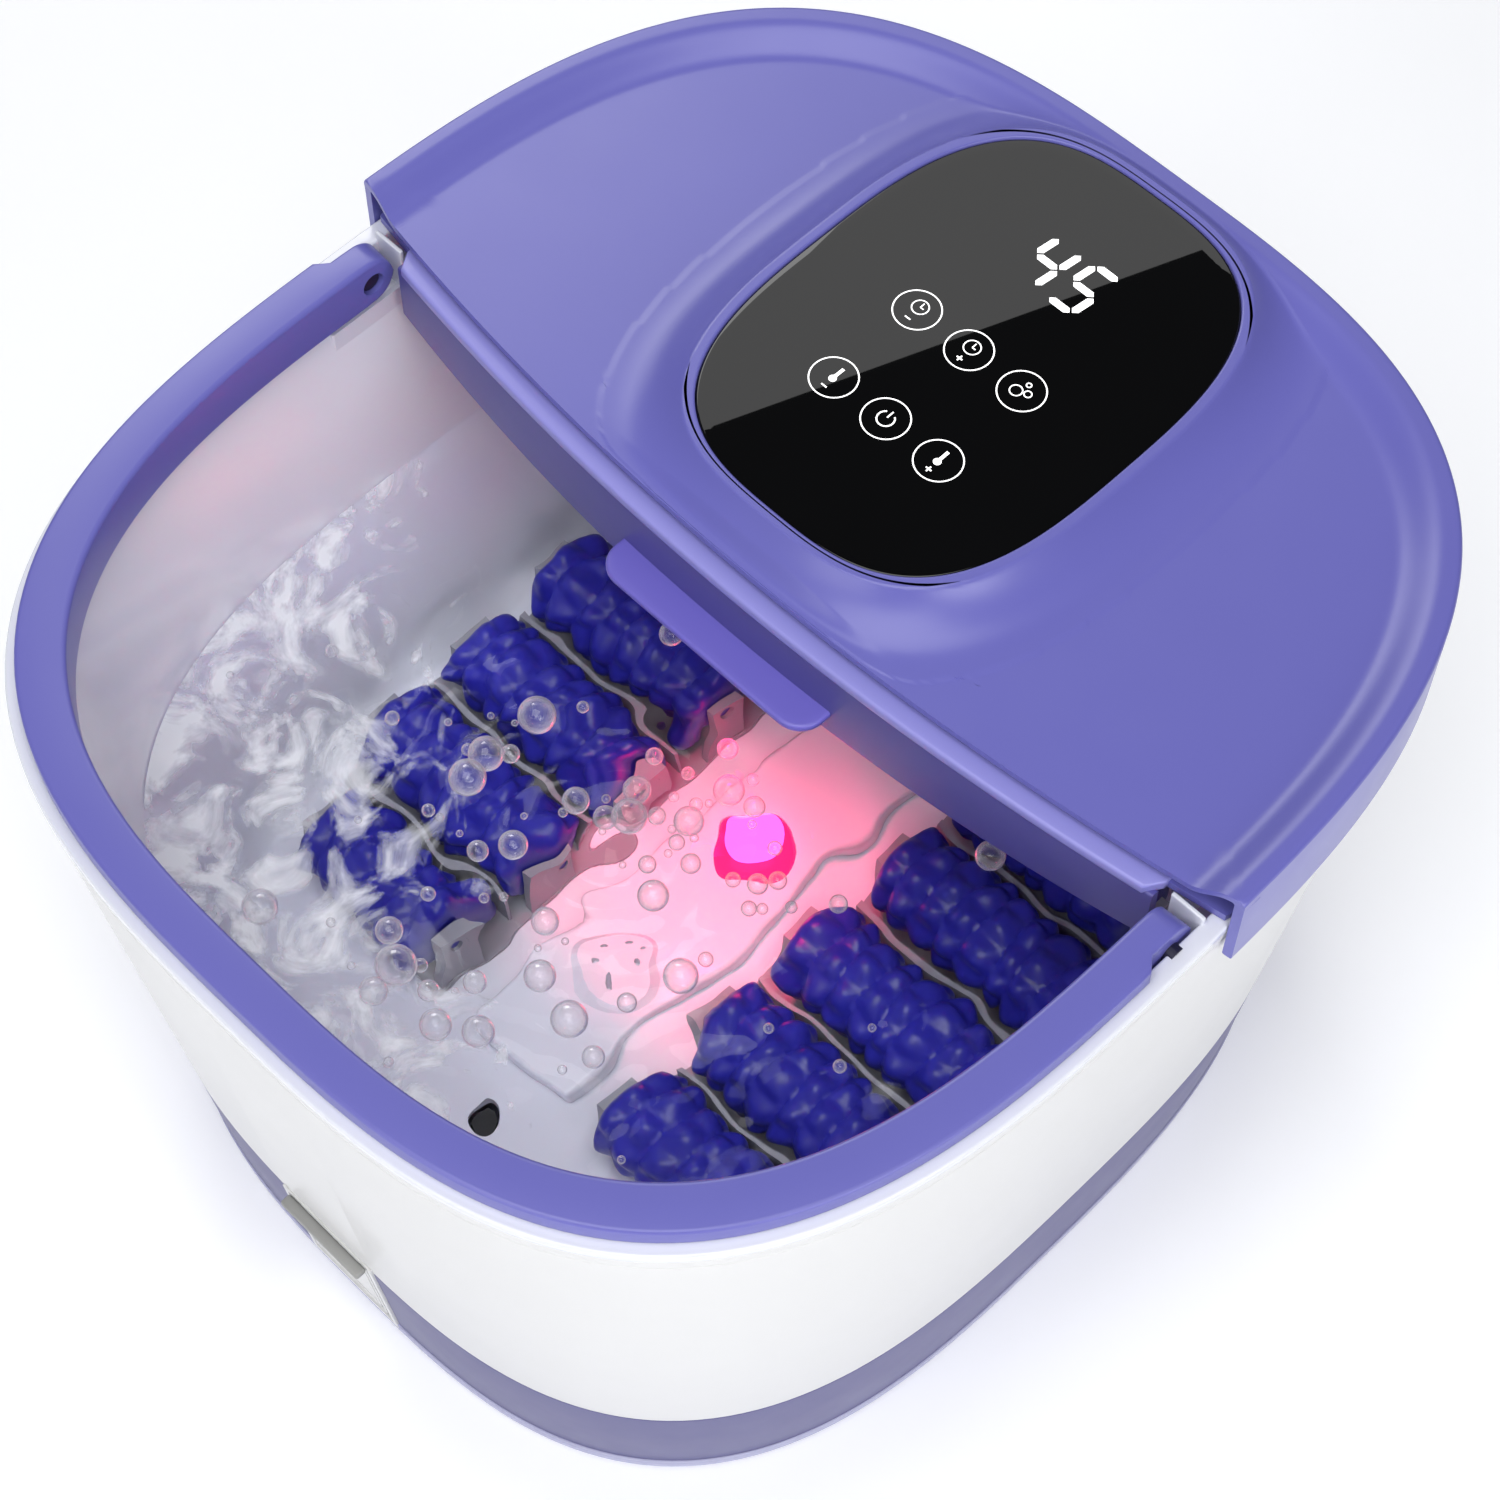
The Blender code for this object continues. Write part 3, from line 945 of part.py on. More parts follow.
# ---------------------------------------------------------------- deck: frame under the cover
frame_half = grown((RIM_HALF_WIDTH, RIM_HALF_DEPTH), -FRAME_INSET)
frame_end_x = frame_half[0] - FRAME_INSET
FRAME_STEPS = 30
frame_outline = []
for step in range(FRAME_STEPS + 1):
    x = frame_end_x * (2 * step / FRAME_STEPS - 1)
    frame_outline.append((x, front_edge(x) + FRAME_BEHIND_EDGE))
start_angle = angle_at_depth(frame_half[1], front_edge(frame_end_x) + 3 * FRAME_BEHIND_EDGE)
for step in range(FRAME_STEPS + 1):
    angle = start_angle + (math.pi - 2 * start_angle) * step / FRAME_STEPS
    frame_outline.append(on_plan(*frame_half, angle))
deck_frame = extruded("deck_frame", frame_outline, FRAME_BOTTOM, FRAME_TOP, "purple_plastic")


def bowed_strip(name, half_length, forward, back, low_at, high_at, steps=24):
    """A strip along the bowed front edge, from a distance in front of it to one behind it."""
    sections = []
    for step in range(steps + 1):
        x = -half_length + 2 * half_length * step / steps
        y = front_edge(x)
        sections.append([(x, y - forward, high_at(x)), (x, y - forward, low_at(x)), (x, y + back, low_at(x)),
                         (x, y + back, high_at(x))])
    return loft(name, sections)


def wall_bottom(x):
    """Lower edge of the frame's front wall, higher towards its ends."""
    return RIM_HEIGHT - FRONT_WALL_BELOW_RIM + FRONT_WALL_RISE * (x / FRONT_WALL_HALF_LENGTH) ** 2


wall_front = LEDGE_FORWARD - 2 * GAP
wall_back = wall_front - FRONT_WALL_THICKNESS
ledge_low = FRAME_TOP - LEDGE_SUNK
front_wall = bowed_strip("front_wall", FRONT_WALL_HALF_LENGTH, wall_front, -wall_back, wall_bottom,
                         lambda x: ledge_low + LEDGE_SUNK / 2)
ledge = bowed_strip("ledge_strip", FRONT_WALL_HALF_LENGTH + GAP, LEDGE_FORWARD, LEDGE_BACK,
                    lambda x: ledge_low, lambda x: ledge_low + LEDGE_THICKNESS)
tab_root = DECK_FRONT - wall_front + FRONT_WALL_THICKNESS / 2
tab_front = tab_root - TAB_REACH
tab_turn = TAB_HALF_LENGTH - TAB_CORNER
tab_outline = [(-TAB_HALF_LENGTH, tab_root),
               *arc((-tab_turn, tab_front + TAB_CORNER), TAB_CORNER, 180, 270, 6),
               *arc((tab_turn, tab_front + TAB_CORNER), TAB_CORNER, 270, 360, 6),
               (TAB_HALF_LENGTH, tab_root)]
tab_low = RIM_HEIGHT - TAB_BELOW_RIM
tab = extruded("finger_tab", tab_outline, tab_low, tab_low + TAB_THICKNESS)
unite(deck_frame, front_wall, ledge, tab)
for name, side in SIDES:
    cut(deck_frame, side_box(f"rib_room_{name}", side, TUB_SEAT_HALF_WIDTH - STOP_RIB_REACH - GAP,
                             TUB_SEAT_HALF_WIDTH + TUB_WALL, STOP_RIB_Y - GAP,
                             STOP_RIB_Y + STOP_RIB_THICKNESS + GAP, TUB_LEDGE, HANDLE_TOP))

# ---------------------------------------------------------------- rear hinges
deck_bodies = [deck_cover, deck_frame, control_lens, touch_board, display_module]
knuckle_half = HINGE_KNUCKLE_LENGTH / 2
slot_half = knuckle_half + GAP
reach = slot_half + HINGE_EAR
leaf_low = SKIRT_BOTTOM - HINGE_LEAF_HEIGHT
slot_low = SKIRT_BOTTOM - 2 * HINGE_KNUCKLE_RADIUS
shell_leaf_y = depth_of_plan(*wall_at(SKIRT_BOTTOM), HINGE_X - reach) + GAP
moving_leaf_y = hinge_skirt_y + GAP
for name, side in SIDES:
    x = side * HINGE_X
    axis = (x, HINGE_AXIS_Y, HINGE_AXIS_Z)
    fixed = box(f"shell_hinge_{name}", (x - reach, shell_leaf_y, leaf_low),
                (x + reach, HINGE_AXIS_Y, SKIRT_BOTTOM - GAP), "grey_plastic")
    unite(fixed, across(f"fixed_barrel_{name}", HINGE_KNUCKLE_RADIUS, axis, reach, sides=16))
    slot = box(f"knuckle_slot_{name}", (x - slot_half, moving_leaf_y - HINGE_EAR, slot_low),
               (x + slot_half, HINGE_AXIS_Y + THROUGH, HINGE_AXIS_Z + THROUGH))
    bore = across(f"hinge_bore_{name}", HINGE_PIN_RADIUS + GAP, axis, reach + THROUGH, sides=12)
    cut(fixed, slot, bore)
    moving = across(f"deck_hinge_{name}", HINGE_KNUCKLE_RADIUS, axis, knuckle_half, "grey_plastic", sides=16)
    leaf = box(f"moving_leaf_{name}", (x - knuckle_half, moving_leaf_y, HINGE_AXIS_Z),
               (x + knuckle_half, moving_leaf_y + HINGE_LEAF_THICKNESS, HINGE_AXIS_Z + HINGE_LEAF_HEIGHT))
    unite(moving, leaf)
    cut(moving, bore)
    across(f"hinge_pin_{name}", HINGE_PIN_RADIUS, axis, reach, "steel", sides=10)
    deck_bodies.append(moving)
hang_on_axis("deck_axis", (0, HINGE_AXIS_Y, HINGE_AXIS_Z), deck_bodies)

# ---------------------------------------------------------------- origin under the middle of the box
basin_centre = bpy.data.objects.new("basin_centre", None)
basin_centre.location.y = -(HINGE_AXIS_Y + HINGE_KNUCKLE_RADIUS - RIM_HALF_DEPTH) / 2
parts.objects.link(basin_centre)
for body in [*parts.objects, *cutters.objects]:
    if body.parent is None and body is not basin_centre:
        body.parent = basin_centre
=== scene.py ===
"""Looks of the foot spa basin: fine surfaces, materials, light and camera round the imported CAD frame.

Each fine piece takes its size and place from the CAD node that it stands for. Lengths are metres.
The water, its bubbles and the floor are staged: they belong to the picture and not to the object.
"""

import json
import math

import bmesh
import bpy
import numpy as np
from mathutils import Matrix, Vector


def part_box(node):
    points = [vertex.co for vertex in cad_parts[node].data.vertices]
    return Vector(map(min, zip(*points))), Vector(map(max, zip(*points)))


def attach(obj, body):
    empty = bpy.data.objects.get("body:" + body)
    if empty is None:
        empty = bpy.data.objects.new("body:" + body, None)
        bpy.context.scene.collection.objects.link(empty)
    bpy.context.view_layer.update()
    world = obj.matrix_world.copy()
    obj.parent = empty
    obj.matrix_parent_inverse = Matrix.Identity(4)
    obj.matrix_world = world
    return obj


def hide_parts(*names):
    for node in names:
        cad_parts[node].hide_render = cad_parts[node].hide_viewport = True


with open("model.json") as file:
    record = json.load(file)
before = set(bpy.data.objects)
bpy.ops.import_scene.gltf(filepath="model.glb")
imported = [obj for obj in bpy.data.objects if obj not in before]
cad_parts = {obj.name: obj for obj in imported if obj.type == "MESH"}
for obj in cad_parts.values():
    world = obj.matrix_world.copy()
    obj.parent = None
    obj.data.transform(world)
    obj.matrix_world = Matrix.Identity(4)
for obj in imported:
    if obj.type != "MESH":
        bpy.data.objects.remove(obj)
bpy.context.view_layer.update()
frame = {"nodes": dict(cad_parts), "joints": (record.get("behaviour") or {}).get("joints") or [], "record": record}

# ---------------------------------------------------------------- sizes read from the frame
EXPONENT = 3.0                # squareness of the plan, as in the CAD model
GAP = 0.0003

tub_low, tub_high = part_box("inner_tub")
shell_low, shell_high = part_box("outer_shell")
band_low, band_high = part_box("base_skirt")
plate_low, plate_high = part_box("base_plate")
cover_low, cover_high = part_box("deck_cover")
frame_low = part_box("deck_frame")[0]
lens_low, lens_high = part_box("control_lens")
handle_low, handle_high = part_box("carry_handle")
door_low, door_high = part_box("drain_door")
bay_low, bay_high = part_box("drain_bay")
spine_low, spine_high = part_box("air_channel_cover")
light_low, light_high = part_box("red_light_lens")
nozzle_low, nozzle_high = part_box("air_nozzle")
cradle_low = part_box("cradle_right")[0]
joint_at = {joint["name"]: Vector(joint["pos_m"]) for joint in frame["joints"]}
slots = {part["node"]: part["material_slot"] for part in frame["record"]["subparts"]}

CENTRE_Y = (tub_low.y + tub_high.y) / 2
RIM_HALF = ((tub_high.x - tub_low.x) / 2, (tub_high.y - tub_low.y) / 2)
RIM_THICKNESS = 0.004
RIM_TOP = shell_high.z + RIM_THICKNESS + GAP
FLOOR_TOP = cradle_low.z - GAP
pivot = joint_at["handle_lift"]


# ---------------------------------------------------------------- outlines
def radius_at(half, angle, exponent=EXPONENT):
    """Distance from the middle to a superellipse's outline, at a true angle from +X."""
    across = np.abs(np.cos(angle) / half[0]) ** exponent
    along = np.abs(np.sin(angle) / half[1]) ** exponent
    return (across + along) ** (-1 / exponent)


def even_angles(half, start, end, steps):
    """Angles that space points evenly along an outline, both ends included."""
    fine = np.linspace(start, end, 4000)
    radius = radius_at(half, fine)
    points = np.stack([radius * np.cos(fine), radius * np.sin(fine)], 1)
    length = np.concatenate([[0], np.cumsum(np.linalg.norm(np.diff(points, axis=0), axis=1))])
    return np.interp(np.linspace(0, length[-1], steps + 1), length, fine)


PLAN_STEPS = 240
PLAN_ANGLES = even_angles(RIM_HALF, 0, 2 * math.pi, PLAN_STEPS)[:-1]


def plan_ring(half, z, angles=PLAN_ANGLES, centre=(0.0, CENTRE_Y)):
    """Points of a level outline, given by its half sizes."""
    radius = radius_at(half, angles)
    return np.stack([centre[0] + radius * np.cos(angles), centre[1] + radius * np.sin(angles),
                     np.full(len(angles), z)], 1)


def grown(half, by):
    return half[0] + by, half[1] + by


def eased(corners, reach, steps=4, closed=True):
    """A polyline whose corners are replaced by short curves that start and end `reach` away."""
    corners = [np.array(corner, float) for corner in corners]
    reaches = reach if hasattr(reach, "__len__") else [reach] * len(corners)
    points = []
    for i, corner in enumerate(corners):
        if not closed and i in (0, len(corners) - 1):
            points.append(corner)
            continue
        before, after = corners[i - 1] - corner, corners[(i + 1) % len(corners)] - corner
        ends = []
        for side in (before, after):
            length = max(np.linalg.norm(side), 1e-9)
            ends.append(corner + side / length * min(reaches[i], 0.49 * length))
        for step in range(steps + 1):
            t = step / steps
            points.append((1 - t) ** 2 * ends[0] + 2 * t * (1 - t) * corner + t * t * ends[1])
    return np.array(points)


def smooth_step(values):
    t = np.clip(values, 0, 1)
    return t * t * (3 - 2 * t)


# ---------------------------------------------------------------- meshes
def finish_piece(bm, name, material, body, nodes=(), sharp=40.0):
    """A shown piece that rides on a CAD body and may stand for CAD nodes."""
    bmesh.ops.remove_doubles(bm, verts=bm.verts, dist=2e-6)
    bmesh.ops.recalc_face_normals(bm, faces=bm.faces)
    mesh = bpy.data.meshes.new(name)
    bm.to_mesh(mesh)
    bm.free()
    piece = bpy.data.objects.new(name, mesh)
    bpy.context.scene.collection.objects.link(piece)
    mesh.materials.append(material)
    mesh.shade_smooth()
    mesh.set_sharp_from_angle(angle=math.radians(sharp))
    if body is None:
        return piece
    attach(piece, body)
    if nodes:
        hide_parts(*nodes)
    return piece


def skin(name, rows, material, body, nodes=(), ring=True, wrap=False, fill=(), sharp=40.0):
    """A surface through rows of points. A ring closes each row, a wrap joins the last row to the
    first, and fill names the rows (0 or -1) whose outline is filled."""
    rows = np.asarray(rows, float)
    count, steps = rows.shape[:2]
    index = np.arange(count * steps).reshape(count, steps)
    here = index if wrap else index[:-1]
    there = np.roll(index, -1, axis=0) if wrap else index[1:]
    if ring:
        quads = np.stack([here, np.roll(here, -1, 1), np.roll(there, -1, 1), there], -1)
    else:
        quads = np.stack([here[:, :-1], here[:, 1:], there[:, 1:], there[:, :-1]], -1)
    faces = quads.reshape(-1, 4).tolist() + [index[row].tolist() for row in fill]
    mesh = bpy.data.meshes.new("rows")
    mesh.from_pydata(rows.reshape(-1, 3).tolist(), [], faces)
    bm = bmesh.new()
    bm.from_mesh(mesh)
    bpy.data.meshes.remove(mesh)
    return finish_piece(bm, name, material, body, nodes, sharp)


def box_between(low, high):
    """A plain box from its low corner to its high one, still to be bevelled or used as a cutter."""
    bm = bmesh.new()
    bmesh.ops.create_cube(bm, size=1.0)
    bmesh.ops.scale(bm, vec=Vector(high) - Vector(low), verts=bm.verts)
    bmesh.ops.translate(bm, vec=(Vector(high) + Vector(low)) / 2, verts=bm.verts)
    return bm


def rounded_box(name, low, high, radius, material, body, nodes=(), segments=3):
    bm = box_between(low, high)
    bmesh.ops.bevel(bm, geom=bm.edges[:], offset=radius, segments=segments, profile=0.5, affect="EDGES")
    return finish_piece(bm, name, material, body, nodes)


def side_box(name, side, inner, outer, front, back, low, high, radius, material, body, nodes=()):
    """A rounded box between two distances from the middle plane."""
    x = sorted((side * inner, side * outer))
    return rounded_box(name, (x[0], front, low), (x[1], back, high), radius, material, body, nodes)


def turned(name, profile, centre, axis, material, body, nodes=(), steps=48):
    """A turned piece: (radius, distance along the axis) pairs round an axis through a centre."""
    turn = Vector(axis).to_track_quat("Z", "Y").to_matrix()
    rows = []
    for radius, along in profile:
        ring = []
        for step in range(steps):
            angle = 2 * math.pi * step / steps
            point = Vector((radius * math.cos(angle), radius * math.sin(angle), along))
            ring.append(turn @ point + Vector(centre))
        rows.append(ring)
    return skin(name, rows, material, body, nodes, fill=(0, -1))


def cut_away(piece, low=None, high=None, bore=None):
    """Cuts a box, or a bore given as (radius, start, end), out of a fine piece."""
    if bore:
        bm = bmesh.new()
        radius, start, end = bore
        start, end = Vector(start), Vector(end)
        turn = (end - start).to_track_quat("Z", "Y").to_matrix().to_4x4()
        bmesh.ops.create_cone(bm, cap_ends=True, segments=40, radius1=radius, radius2=radius,
                              depth=(end - start).length, matrix=Matrix.Translation((start + end) / 2) @ turn)
    else:
        bm = box_between(low, high)
    mesh = bpy.data.meshes.new("cutter")
    bm.to_mesh(mesh)
    bm.free()
    cutter = bpy.data.objects.new("cutter", mesh)
    bpy.context.scene.collection.objects.link(cutter)
    modifier = piece.modifiers.new("cut", "BOOLEAN")
    modifier.operation = "DIFFERENCE"
    modifier.object = cutter
    modifier.solver = "EXACT"
    bpy.context.view_layer.objects.active = piece
    with bpy.context.temp_override(object=piece, active_object=piece, selected_objects=[piece]):
        bpy.ops.object.modifier_apply(modifier="cut")
    bpy.data.objects.remove(cutter)
    bpy.data.meshes.remove(mesh)
    piece.data.shade_smooth()
    piece.data.set_sharp_from_angle(angle=math.radians(40))


# ---------------------------------------------------------------- materials
def srgb(red, green, blue):
    """A colour given as screen values from 0 to 255, as the shader's linear values."""
    linear = []
    for value in (red, green, blue):
        share = value / 255
        linear.append(share / 12.92 if share <= 0.04045 else ((share + 0.055) / 1.055) ** 2.4)
    return linear


def noise(tree, scale, detail=3.0):
    place = tree.nodes.new("ShaderNodeTexCoord")
    cloud = tree.nodes.new("ShaderNodeTexNoise")
    cloud.inputs["Scale"].default_value = scale
    cloud.inputs["Detail"].default_value = detail
    tree.links.new(place.outputs["Object"], cloud.inputs["Vector"])
    return cloud.outputs["Fac"]


def varied(tree, value, low, high):
    """A noise value spread over a range."""
    spread = tree.nodes.new("ShaderNodeMapRange")
    spread.inputs["From Min"].default_value = 0.3
    spread.inputs["From Max"].default_value = 0.7
    spread.inputs["To Min"].default_value = low
    spread.inputs["To Max"].default_value = high
    tree.links.new(value, spread.inputs["Value"])
    return spread.outputs["Result"]


def bumped(tree, height, distance, *shaders):
    """Bends the normals of the given shaders by a height."""
    bump = tree.nodes.new("ShaderNodeBump")
    bump.inputs["Strength"].default_value = 1.0
    bump.inputs["Distance"].default_value = distance
    tree.links.new(height, bump.inputs["Height"])
    for shader in shaders:
        tree.links.new(bump.outputs["Normal"], shader.inputs["Normal"])


GLOSS_SPREAD = 0.06           # how far the gloss wanders, as a share of the roughness


def plastic(name, colour, roughness, grain=0.000002, grain_scale=1400.0, mottle=0.02, metallic=0.0,
            coat=0.0, glow=0.0, cloud_scale=9.0):
    """Moulded plastic, rubber or metal: a slightly uneven colour and gloss over a fine grain."""
    material = bpy.data.materials.new(name)
    material.use_nodes = True
    tree = material.node_tree
    shader = tree.nodes["Principled BSDF"]
    shader.inputs["Metallic"].default_value = metallic
    shader.inputs["Coat Weight"].default_value = coat
    shader.inputs["Coat Roughness"].default_value = 0.08
    cloud = noise(tree, cloud_scale)
    mix = tree.nodes.new("ShaderNodeMix")
    mix.data_type = "RGBA"
    mix.inputs[6].default_value = (*[value * (1 - mottle) for value in colour], 1)
    mix.inputs[7].default_value = (*[min(1, value * (1 + mottle)) for value in colour], 1)
    tree.links.new(varied(tree, cloud, 0, 1), mix.inputs["Factor"])
    tree.links.new(mix.outputs[2], shader.inputs["Base Color"])
    gloss = varied(tree, noise(tree, cloud_scale * 6), roughness * (1 - GLOSS_SPREAD),
                   roughness * (1 + GLOSS_SPREAD))
    tree.links.new(gloss, shader.inputs["Roughness"])
    bumped(tree, noise(tree, grain_scale, 2.0), grain, shader)
    if glow:
        shader.inputs["Emission Color"].default_value = (*colour, 1)
        shader.inputs["Emission Strength"].default_value = glow
    material.diffuse_color = (*colour, 1)
    return material


LOOKS = {
    "white_plastic": plastic("white_plastic", srgb(224, 224, 224), 0.38, mottle=0.008, coat=0.15),
    "tub_white": plastic("tub_white", srgb(228, 230, 240), 0.22, mottle=0.012, coat=0.4),
    "purple_plastic": plastic("purple_plastic", srgb(106, 105, 184), 0.30, mottle=0.012),
    "band_plastic": plastic("band_plastic", srgb(92, 90, 138), 0.42),
    "lip_plastic": plastic("lip_plastic", srgb(176, 176, 206), 0.40),
    "roller_plastic": plastic("roller_plastic", srgb(38, 38, 150), 0.34, mottle=0.12, cloud_scale=40.0),
    "grey_plastic": plastic("grey_plastic", srgb(150, 150, 148), 0.42, mottle=0.04, cloud_scale=60.0),
    "black_lens": plastic("black_lens", srgb(3, 3, 4), 0.008, grain=0.0, mottle=0.3),
    "red_lens": plastic("red_lens", srgb(255, 20, 70), 0.15, grain=0.0, glow=3.0),
    "steel": plastic("steel", srgb(196, 197, 200), 0.26, metallic=1.0, grain_scale=2500.0),
    "rubber": plastic("rubber", srgb(42, 42, 44), 0.75, grain=0.00003, grain_scale=1600.0, mottle=0.08),
    "circuit_board": plastic("circuit_board", srgb(26, 104, 62), 0.45, mottle=0.15, cloud_scale=160.0),
    "clear_hose": plastic("clear_hose", srgb(206, 212, 214), 0.25, mottle=0.05),
    "aluminium": plastic("aluminium", srgb(200, 202, 205), 0.38, metallic=1.0, grain=0.00002),
}
CRADLE_GREY = plastic("cradle_grey", srgb(150, 150, 158), 0.40, mottle=0.05)
# The pivot pins take a near-black navy: painted shade, so they read as the dark inside of the handle's pin bores.
BORE_SHADE_PAINT = plastic("bore_painted_shade", srgb(22, 20, 48), 0.5)
# The print glows: painted light that keeps the printed keys and number bright white on the dark lens.
GLOWING_PRINT_WHITE = plastic("print_white_painted_glow", srgb(250, 250, 250), 0.5, grain=0.0, glow=1.1)

for node_name, slot in slots.items():
    node = frame["nodes"][node_name]
    node.data.materials.clear()
    node.data.materials.append(LOOKS[slot])
# The pivot pins get the painted bore shade; the cradles get a grey.
for side in ("left", "right"):
    frame["nodes"][f"pivot_pin_{side}"].data.materials[0] = BORE_SHADE_PAINT
    frame["nodes"][f"cradle_{side}"].data.materials[0] = CRADLE_GREY


# ---------------------------------------------------------------- shell, band and base plate
def wall_half(z):
    """Half width and half depth of the tapered outer wall at a height, from the band's and shell's tops."""
    share = (z - band_high.z) / (shell_high.z - band_high.z)
    sizes = []
    for axis in (0, 1):
        low = (band_high[axis] - band_low[axis]) / 2
        high = (shell_high[axis] - shell_low[axis]) / 2
        sizes.append(low + (high - low) * share)
    return tuple(sizes)


def wall_profile(corners, reach):
    """Rings of the wall from (height, inset) corners, with the corners eased."""
    return [plan_ring(grown(wall_half(z), -inset), z) for z, inset in eased(corners, reach, 3)]


WALL = 0.0024
GROOVE_BELOW_TOP = 0.0055
groove_z = shell_high.z - GROOVE_BELOW_TOP
shell = skin("shell_skin", wall_profile(
    [(shell_low.z, 0), (groove_z - 0.0006, 0), (groove_z, 0.0004), (groove_z + 0.0006, 0), (shell_high.z, 0),
     (shell_high.z, WALL), (shell_low.z, WALL)],
    [0.0008, 0.0002, 0.0003, 0.0002, 0.0003, 0.0003, 0.0003]), LOOKS["white_plastic"], "base",
    ["outer_shell"], wrap=True)
band = skin("band_skin", wall_profile(
    [(band_low.z, 0), (band_high.z, 0), (band_high.z, WALL), (band_low.z, WALL)], 0.0004),
    LOOKS["band_plastic"], "base", ["base_skirt"], wrap=True)
bay_hole = ((bay_low.x - GAP, bay_low.y - 0.02, 0), (bay_high.x + GAP, bay_high.y, bay_high.z + GAP))
cut_away(shell, *bay_hole)
cut_away(band, *bay_hole)
gland_low, gland_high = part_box("cord_gland")
gland_middle = (gland_low + gland_high) / 2
cut_away(band, bore=((gland_high.x - gland_low.x) / 2 + GAP, gland_middle - Vector((0, 0.02, 0)),
                     gland_middle + Vector((0, 0.02, 0))))

BEAD_HEIGHT = 0.0013
bead_z = band_low.z + 0.0018
bead = skin("band_bead", wall_profile([(bead_z, 0.0003), (bead_z, -0.0006), (bead_z + BEAD_HEIGHT, -0.0006),
                                       (bead_z + BEAD_HEIGHT, 0.0003)], 0.0004),
            LOOKS["lip_plastic"], "base", wrap=True)
DOOR_CLEARANCE = 0.0015
cut_away(bead, (door_low.x - DOOR_CLEARANCE, door_low.y - 0.02, bead_z - 0.001),
         (door_high.x + DOOR_CLEARANCE, door_high.y + 0.02, bead_z + BEAD_HEIGHT + 0.001))
plate_half = ((plate_high.x - plate_low.x) / 2, (plate_high.y - plate_low.y) / 2)
skin("base_plate_skin",
     [plan_ring(grown(plate_half, -inset), z) for inset, z in
      eased([(0.012, plate_low.z), (0, plate_low.z), (0, plate_high.z), (0.012, plate_high.z)],
            0.0012, 4, closed=False)],
     LOOKS["lip_plastic"], "base", ["base_plate"], fill=(0, -1))

# ---------------------------------------------------------------- tub
RIM_FLANGE = 0.0062
TUB_WALL = 0.002
LEDGE_WIDTH = 0.0075
FLOOR_FILLET = 0.008
FLOOR_INSET = 0.0455          # from the rim's outside to the edge of the floor
FLOOR_HALF = grown(RIM_HALF, -FLOOR_INSET)
ledge_z = handle_low.z - 0.003
seat_half = grown(RIM_HALF, -RIM_FLANGE)
throat_half = grown(seat_half, -LEDGE_WIDTH)
fillet_half = grown(FLOOR_HALF, FLOOR_FILLET)


def tub_half(z):
    """Half sizes of the tub's inside between the floor's fillet and the ledge."""
    low = FLOOR_TOP + FLOOR_FILLET
    share = (z - low) / (ledge_z - low)
    return tuple(f + (t - f) * share for f, t in zip(fillet_half, throat_half))


# The tub's section as half width, half depth and height: up the outside, over the rim, down the inside.
tub_corners = [
    (*FLOOR_HALF, FLOOR_TOP - 0.003),
    (*grown(fillet_half, TUB_WALL), FLOOR_TOP + FLOOR_FILLET),
    (*grown(throat_half, TUB_WALL), ledge_z - LEDGE_WIDTH),
    (*grown(seat_half, TUB_WALL), ledge_z - TUB_WALL),
    (*grown(seat_half, TUB_WALL), RIM_TOP - RIM_THICKNESS),
    (*RIM_HALF, RIM_TOP - RIM_THICKNESS),
    (*RIM_HALF, RIM_TOP),
    (*seat_half, RIM_TOP),
    (*seat_half, ledge_z),
    (*throat_half, ledge_z),
    (*fillet_half, FLOOR_TOP + FLOOR_FILLET),
    (*grown(FLOOR_HALF, FLOOR_FILLET * 0.4), FLOOR_TOP + 0.0008),
    (*FLOOR_HALF, FLOOR_TOP),
]
tub_reaches = [0, 0.004, 0.002, 0.001, 0.001, 0.0012, 0.0012, 0.0012, 0.0012, 0.0025, 0.008, 0.004, 0]
tub_rows = [plan_ring(row[:2], row[2]) for row in eased(tub_corners, tub_reaches, 5, closed=False)]
tub = skin("tub_skin", tub_rows, LOOKS["tub_white"], "base", ["inner_tub"], fill=(0, -1), sharp=50.0)
OUTLET_RADIUS = 0.006
hose_low, hose_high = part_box("drain_hose")
outlet = Vector(((hose_low.x + hose_high.x) / 2, hose_high.y - 0.005, FLOOR_TOP))
cut_away(tub, bore=(OUTLET_RADIUS, outlet - Vector((0, 0, 0.01)), outlet + Vector((0, 0, 0.01))))

ARM_HEIGHT = handle_high.z - handle_low.z
RIB_THICKNESS = 0.0015
PAD_HALF = 0.017              # the pivot pad's half depth, and its height below the ledge
PAD_HEIGHT = 0.024
for name, side in (("left", -1), ("right", 1)):
    rib_front = pivot.y + ARM_HEIGHT / 2 + 0.002
    side_box(f"stop_rib_{name}", side, seat_half[0] - 0.011, seat_half[0] + 0.001, rib_front,
             rib_front + RIB_THICKNESS, ledge_z - 0.001, handle_high.z - 0.004, 0.0005, LOOKS["tub_white"],
             "base")
    pad_inner = tub_half(ledge_z)[0] - 0.0012
    pad = [(-PAD_HALF, -0.0005), (-PAD_HALF, -0.014), (-0.008, -PAD_HEIGHT),
           (0.008, -PAD_HEIGHT), (PAD_HALF, -0.014), (PAD_HALF, -0.0005)]
    rows = []
    for inset, x in ((0, pad_inner + 0.003), (0, pad_inner + 0.0006), (0.0006, pad_inner)):
        rows.append([(side * x, pivot.y + y * (1 - inset / PAD_HALF), ledge_z + z * (1 - inset / PAD_HEIGHT))
                     for y, z in pad])
    skin(f"pivot_pad_{name}", rows, LOOKS["tub_white"], "base", fill=(-1,), sharp=30)

